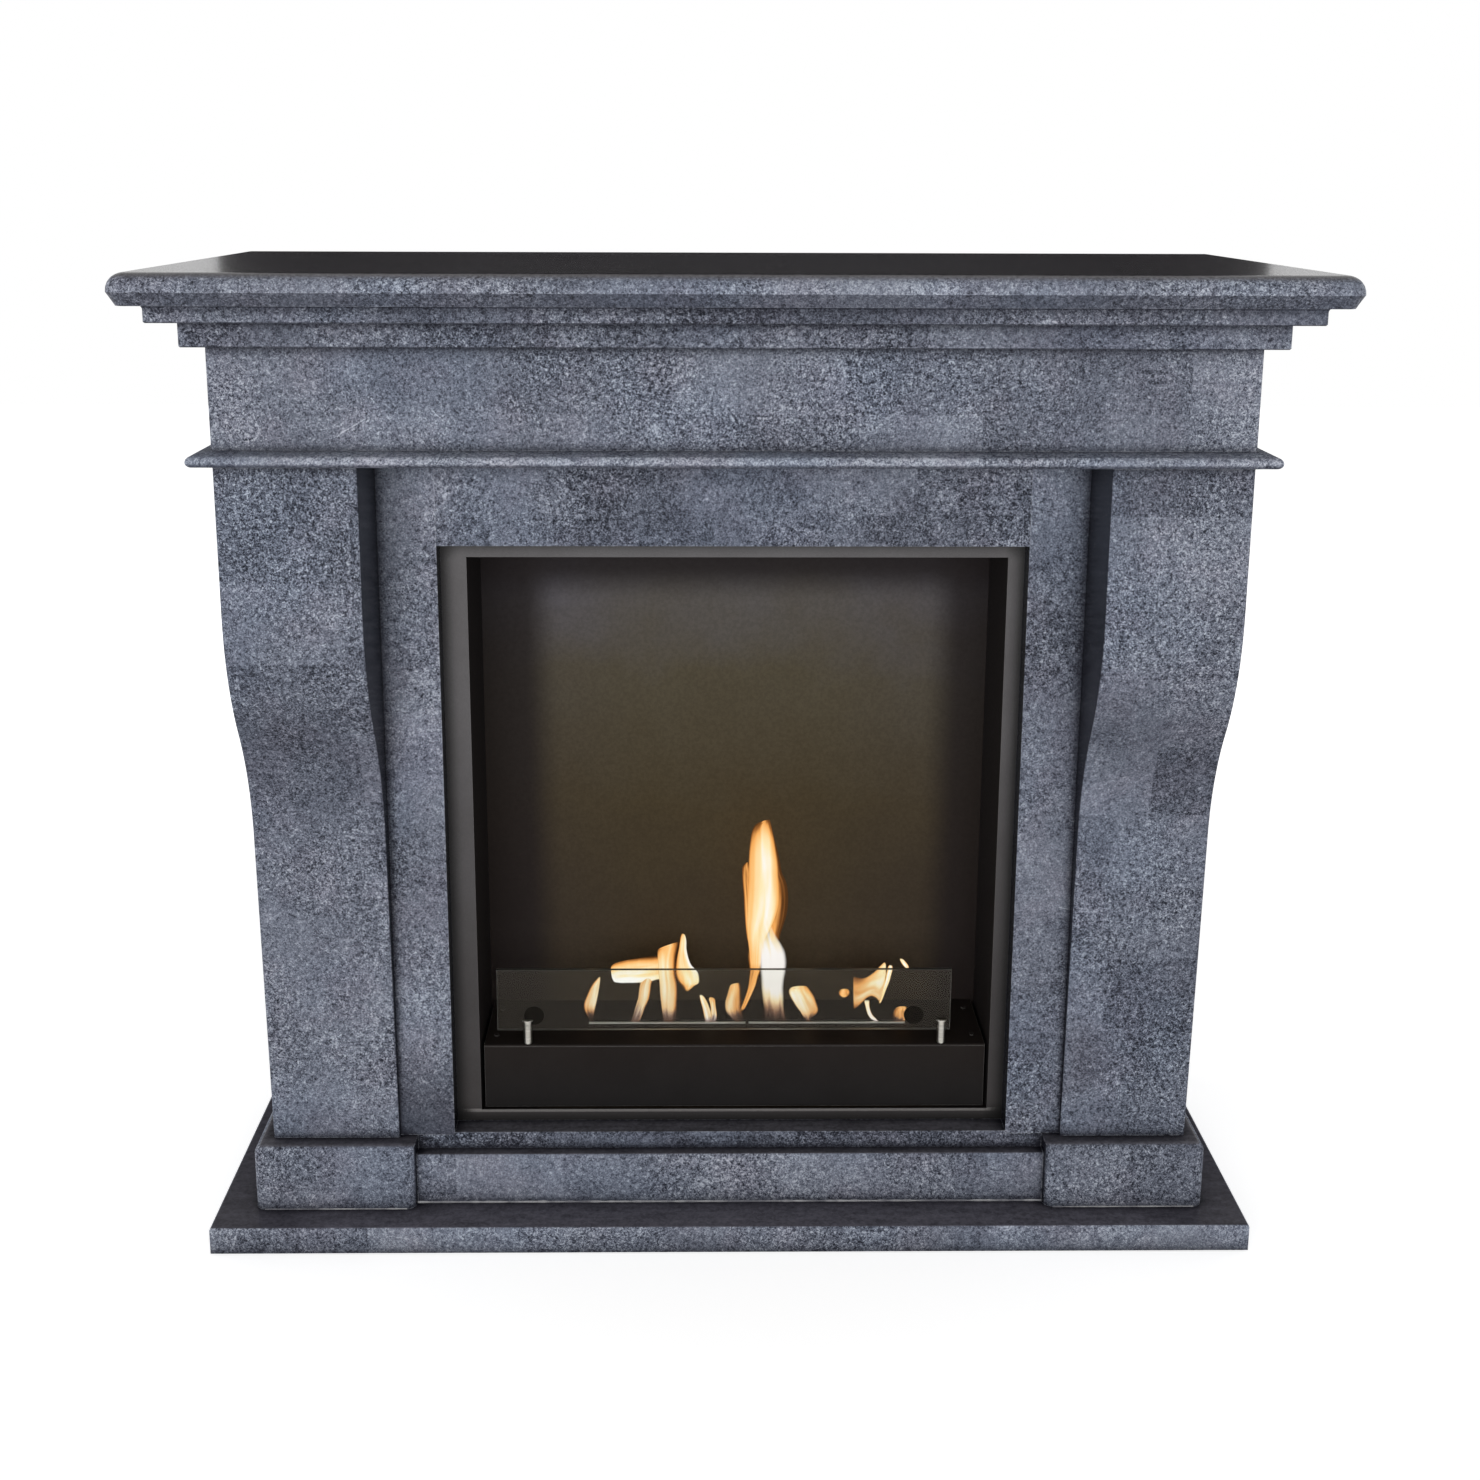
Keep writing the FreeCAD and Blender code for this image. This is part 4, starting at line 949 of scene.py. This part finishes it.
stageLook = {
    "floorSize": 14.0,
    "floorColour": (0.76, 0.76, 0.76),
    "floorLift": (0.70, 1.0),  # its own glow as seen directly, near the object and far from it
    "floorReach": (0.8, 2.4),
    "ambient": 0.20,
    "keyPlace": (-0.35, -3.45, 1.05),
    "lightAim": (0.0, 0.0, 0.62),
    "keySize": (3.2, 1.6),
    "keyPower": 86.0,
    "fills": [(-3.0, 0.8, 0.6), (3.0, 0.8, 0.6), (0.0, 3.4, 0.7)],  # both sides and behind
    "fillSize": (1.8, 1.6),
    "fillPower": 26.0,
    "flag": [  # dark flag, seen only in gloss: its corners in X and Z
        (-1.6, 0.55), (1.6, 0.55), (1.6, 1.07), (1.08, 1.07), (1.08, 2.5), (-0.97, 2.5), (-0.97, 1.07),
        (-1.6, 1.07),
    ],
    "flagBack": 1.6,
    "flagColour": (0.01, 0.01, 0.01),
    "cameraPlace": (-0.0350, -1.8124, 1.1388),
    "cameraTurn": (77.767, -0.195, -0.631),  # degrees about X, Y and Z
    "lens": 42.03,
    "sensor": 36.0,
    "shift": (0.0140, -0.1260),
}


def seenDirectly(tree):
    # 1 for rays from the camera, from gloss and through glass
    path = addNode(tree, "ShaderNodeLightPath").outputs
    seen = calc(tree, "MAXIMUM", path["Is Camera Ray"], path["Is Glossy Ray"])
    return calc(tree, "MAXIMUM", seen, path["Is Transmission Ray"])


def makeFloor():
    # paler with distance, so that its far edge is lost in the white behind it
    look = stageLook
    half = look["floorSize"] / 2
    corners = [(-half, -half, -mm), (half, -half, -mm), (half, half, -mm), (-half, half, -mm)]
    colour, white = opaque(look["floorColour"]), opaque((1.0, 1.0, 1.0))
    material, tree, shader = newFinish(
        "pale floor", Base_Color=colour, Roughness=0.9, Specular_IOR_Level=0.0, Emission_Color=white)
    spot = addNode(tree, "ShaderNodeTexCoord").outputs["Object"]
    far = addNode(tree, "ShaderNodeVectorMath", {0: spot}, operation="LENGTH").outputs["Value"]
    lift = span(tree, far, *look["floorReach"], *look["floorLift"])
    join(tree, shader, Emission_Strength=calc(tree, "MULTIPLY", seenDirectly(tree), lift))
    newPiece("floor", corners, [(0, 1, 2, 3)], material, smoothAndShaded=False)


def makeFlag():
    # hangs behind and above the shelf, so that its top mirrors a dark room and not the white
    look = stageLook
    corners = [(x, look["flagBack"], z) for x, z in look["flag"]]
    colour = opaque(look["flagColour"])
    material = newFinish("dark flag", Base_Color=colour, Roughness=1.0, Specular_IOR_Level=0.0)[0]
    flag = newPiece("dark_flag", corners, [range(len(corners))], material, smoothAndShaded=False)
    flag.visible_camera = flag.visible_diffuse = flag.visible_transmission = flag.visible_shadow = False


def makeWorld():
    # white as seen directly, and a dim even light for everything else
    world = bpy.data.worlds.new("white studio")
    bpy.context.scene.world = world
    world.use_nodes = True
    tree = world.node_tree
    back = tree.nodes["Background"]
    back.inputs["Color"].default_value = opaque((1.0, 1.0, 1.0))
    strength = span(tree, seenDirectly(tree), 0.0, 1.0, stageLook["ambient"], 1.0)
    tree.links.new(strength, back.inputs["Strength"])


def makeLight(name, place, size, power):
    # a soft rectangle that faces the aim
    lamp = bpy.data.lights.new(name, "AREA")
    lamp.shape = "RECTANGLE"
    lamp.size, lamp.size_y = size
    lamp.energy = power
    light = bpy.data.objects.new(name, lamp)
    back = np.array(place) - np.array(stageLook["lightAim"])
    back /= np.linalg.norm(back)
    side = np.cross((0.0, 0.0, 1.0), back)
    side /= np.linalg.norm(side)
    turn = np.eye(4)
    turn[:3, :4] = np.column_stack([side, np.cross(back, side), back, place])
    light.matrix_world = Matrix(turn.tolist())
    bpy.context.scene.collection.objects.link(light)


def makeLights():
    # one softbox in front, and a fill on each side and behind
    look = stageLook
    makeLight("front softbox", look["keyPlace"], look["keySize"], look["keyPower"])
    for index, place in enumerate(look["fills"]):
        makeLight("fill %d" % (index + 1), place, look["fillSize"], look["fillPower"])


def makeCamera():
    # the photograph's own view: place, turn, lens and shift
    look = stageLook
    lens = bpy.data.cameras.new("photo view")
    lens.lens = look["lens"]
    lens.sensor_width = look["sensor"]
    lens.shift_x, lens.shift_y = look["shift"]
    camera = bpy.data.objects.new("photo view", lens)
    camera.location = look["cameraPlace"]
    camera.rotation_euler = np.radians(look["cameraTurn"]).tolist()
    bpy.context.scene.collection.objects.link(camera)
    bpy.context.scene.camera = camera


makeFloor()
makeFlag()
makeWorld()
makeLights()
makeCamera()
bpy.context.scene.view_settings.view_transform = "Standard"
print("stage: floor, flag, world, lights and the camera")
